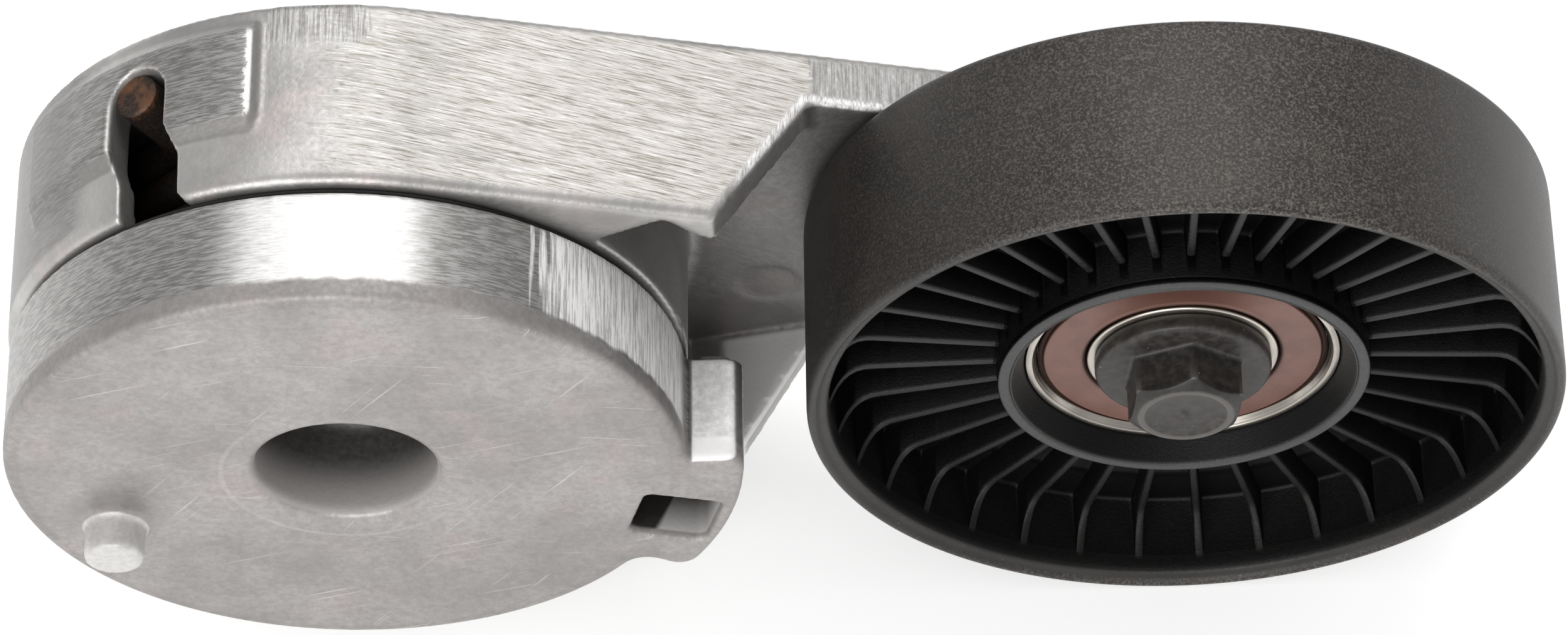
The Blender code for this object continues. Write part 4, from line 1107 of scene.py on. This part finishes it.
def seal_look():
    """Red-brown rubber, with painted shade where the hub overhangs it and in the groove round its edge."""
    look = Look("brown_seal_rubber")
    radius, _ = look.around(PULLEY_X)
    clouds = look.noise(0.25, 3.0, 5.0)
    grain = look.noise(3.0, 2.0, 2.0)
    look.surface = mix(step(clouds, 0.35, 0.65), SEAL_DARK, SEAL_PALE)
    shaded = step(look.z, 9.0, 17.0) * (1.0 - step(look.distance(PULLEY_X, 14.0), 6.0, 15.0))
    look.paint(shaded * 0.8, SEAL_SHADE)
    # Painted shade in the grooves at the seal's inner and outer edges.
    edges = either(step(radius, 17.65, 17.85), step(radius, 13.1, 12.6))
    look.paint(edges, SEAL_GROOVE_SHADE)
    roughness = step(grain, 0.3, 0.7, 0.36, 0.48)
    return look.finish(roughness, grain, 0.015, either(shaded * 0.7, edges))


def moulded_look(name, first, second, rough, depth=0.015):
    """Rubber or plain nylon: two close tones in soft clouds, and a fine moulded grain."""
    look = Look(name)
    clouds = look.noise(0.25, 3.0, 5.0)
    grain = look.noise(3.0, 2.0, 2.0)
    look.surface = mix(step(clouds, 0.35, 0.65), first, second)
    roughness = step(grain, 0.3, 0.7, rough, rough + 0.12)
    return look.finish(roughness, grain, depth)


# ---- putting it together

def place(piece, body, node, slot, material):
    """Gives a piece its material and body, and lets it stand for its node."""
    piece.data.materials.clear()
    piece.data.materials.append(material)
    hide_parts(node)
    if node != "torsion_spring":
        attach(piece, body)


def pieces():
    black = moulded_look("matt_black_rubber", grey(0.003), grey(0.006), 0.7)
    brown = seal_look()
    dark_nylon = moulded_look("bushing_black_nylon", grey(0.012), (0.020, 0.019, 0.019, 1.0), 0.45)
    natural = moulded_look("natural_nylon", (0.58, 0.54, 0.44, 1.0), (0.66, 0.62, 0.52, 1.0), 0.4)
    steel_bright, steel_dark = (0.60, 0.56, 0.50, 1.0), (0.36, 0.335, 0.30, 1.0)
    race = turned_metal("ground_bearing_steel", steel_bright, steel_dark, 0.2, PULLEY_X)
    plated = turned_metal("zinc_plated_steel", grey(0.62, -0.01), grey(0.42, -0.01), 0.3)
    turned_sleeve = turned_metal("turned_steel_sleeve", grey(0.60), grey(0.40), 0.3, PULLEY_X)

    place(base_casting(), "base", "base_housing", "cast_aluminium", base_look())
    place(dust_seal(), "base", "dust_seal_ring", "black_rubber", black)
    place(retaining_plate(), "base", "retaining_plate", "plated_steel", plated)
    place(thrust_washer(), "base", "thrust_washer", "bushing_nylon", natural)
    place(damping_bushing(), "base", "damping_bushing", "black_nylon", dark_nylon)
    place(spring_seat(), "base", "spring_seat", "bushing_nylon", natural)
    place(arm_casting(), "arm", "tensioner_arm", "cast_aluminium", arm_look())
    place(pivot_bushing(), "arm", "pivot_bushing", "bushing_nylon", natural)
    place(bolt(), "arm", "pulley_bolt", "phosphate_steel", bolt_look())
    place(sleeve(), "arm", "bearing_spacer", "plated_steel", turned_sleeve)
    place(inner_ring(), "arm", "bearing_inner_ring", "bearing_steel", race)
    place(pulley(), "pulley", "ribbed_pulley", "black_nylon", nylon_look())
    place(outer_ring(), "pulley", "bearing_outer_ring", "bearing_steel", race)
    place(bearing_seal("front_lip_seal", -1), "pulley", "bearing_seal_front", "brown_seal_rubber", brown)
    place(bearing_seal("rear_lip_seal", 1), "pulley", "bearing_seal_rear", "brown_seal_rubber", brown)
    place(cage(), "cage", "bearing_cage", "bushing_nylon", natural)
    for number in range(1, 9):
        place(ball(number), "cage", f"bearing_ball_{number}", "bearing_steel", race)

    coil = spring()
    place(coil, "arm", "torsion_spring", "rusted_spring_steel", rust_look())
    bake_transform(coil)


def floor():
    bm = bmesh.new()
    reach = 4.0
    corners = ((-reach, -reach), (reach, -reach), (reach, reach), (-reach, reach))
    bm.faces.new([bm.verts.new((x, y, 0.0)) for x, y in corners])
    mesh = bpy.data.meshes.new("studio_floor")
    bm.to_mesh(mesh)
    bm.free()
    obj = bpy.data.objects.new("studio_floor", mesh)
    obj.location.z = CAD_BOX[0].z - 0.0003
    bpy.context.scene.collection.objects.link(obj)
    look = Look("pale_floor", Roughness=0.9, Emission_Color=grey(1.0), Emission_Strength=FLOOR_GLOW)
    look.feed(look.shader.inputs["Base Color"], mix(look.noise(0.01), grey(0.86), grey(0.88)))
    mesh.materials.append(look.material)


def area_light(name, towards, distance, size, power):
    """A soft rectangular light, seen from the object in the given direction and facing it."""
    direction = Vector(towards).normalized()
    data = bpy.data.lights.new(name, "AREA")
    data.shape = "RECTANGLE"
    data.size, data.size_y = size
    data.energy = power
    lamp = bpy.data.objects.new(name, data)
    lamp.location = Vector((0.05, 0.02, 0.0)) + direction * distance
    lamp.rotation_euler = direction.to_track_quat("Z", "Y").to_euler()
    bpy.context.scene.collection.objects.link(lamp)


def studio():
    world = bpy.data.worlds.new("studio")
    world.use_nodes = True
    tree = world.node_tree
    place = tree.nodes.new("ShaderNodeTexCoord")
    parts = tree.nodes.new("ShaderNodeSeparateXYZ")
    height = tree.nodes.new("ShaderNodeMapRange")
    height.inputs["To Min"].default_value = HORIZON_LIGHT
    height.inputs["To Max"].default_value = ZENITH_LIGHT
    tree.links.new(place.outputs["Generated"], parts.inputs[0])
    tree.links.new(parts.outputs["Z"], height.inputs["Value"])
    tree.links.new(height.outputs[0], tree.nodes["Background"].inputs["Strength"])
    tree.nodes["Background"].inputs["Color"].default_value = (1.0, 1.0, 1.0, 1.0)
    bpy.context.scene.world = world
    area_light("overhead_softbox", (0.07, 0.52, 0.86), 1.5, (1.1, 0.8), SOFTBOX_POWER)
    area_light("front_fill", (-0.25, -0.8, 0.6), 1.6, (1.4, 0.9), FILL_POWER)
    bpy.context.scene.view_settings.view_transform = "Standard"


def camera():
    data = bpy.data.cameras.new("camera")
    data.sensor_width = 36.0
    data.lens = CAMERA_LENS
    data.clip_start = 0.01
    data.clip_end = 20.0
    data.dof.use_dof = False
    obj = bpy.data.objects.new("camera", data)
    obj.location = [value * MM for value in CAMERA_PLACE]
    obj.rotation_euler = [math.radians(value) for value in CAMERA_TURN]
    bpy.context.scene.collection.objects.link(obj)
    bpy.context.scene.camera = obj


pieces()
floor()
studio()
camera()
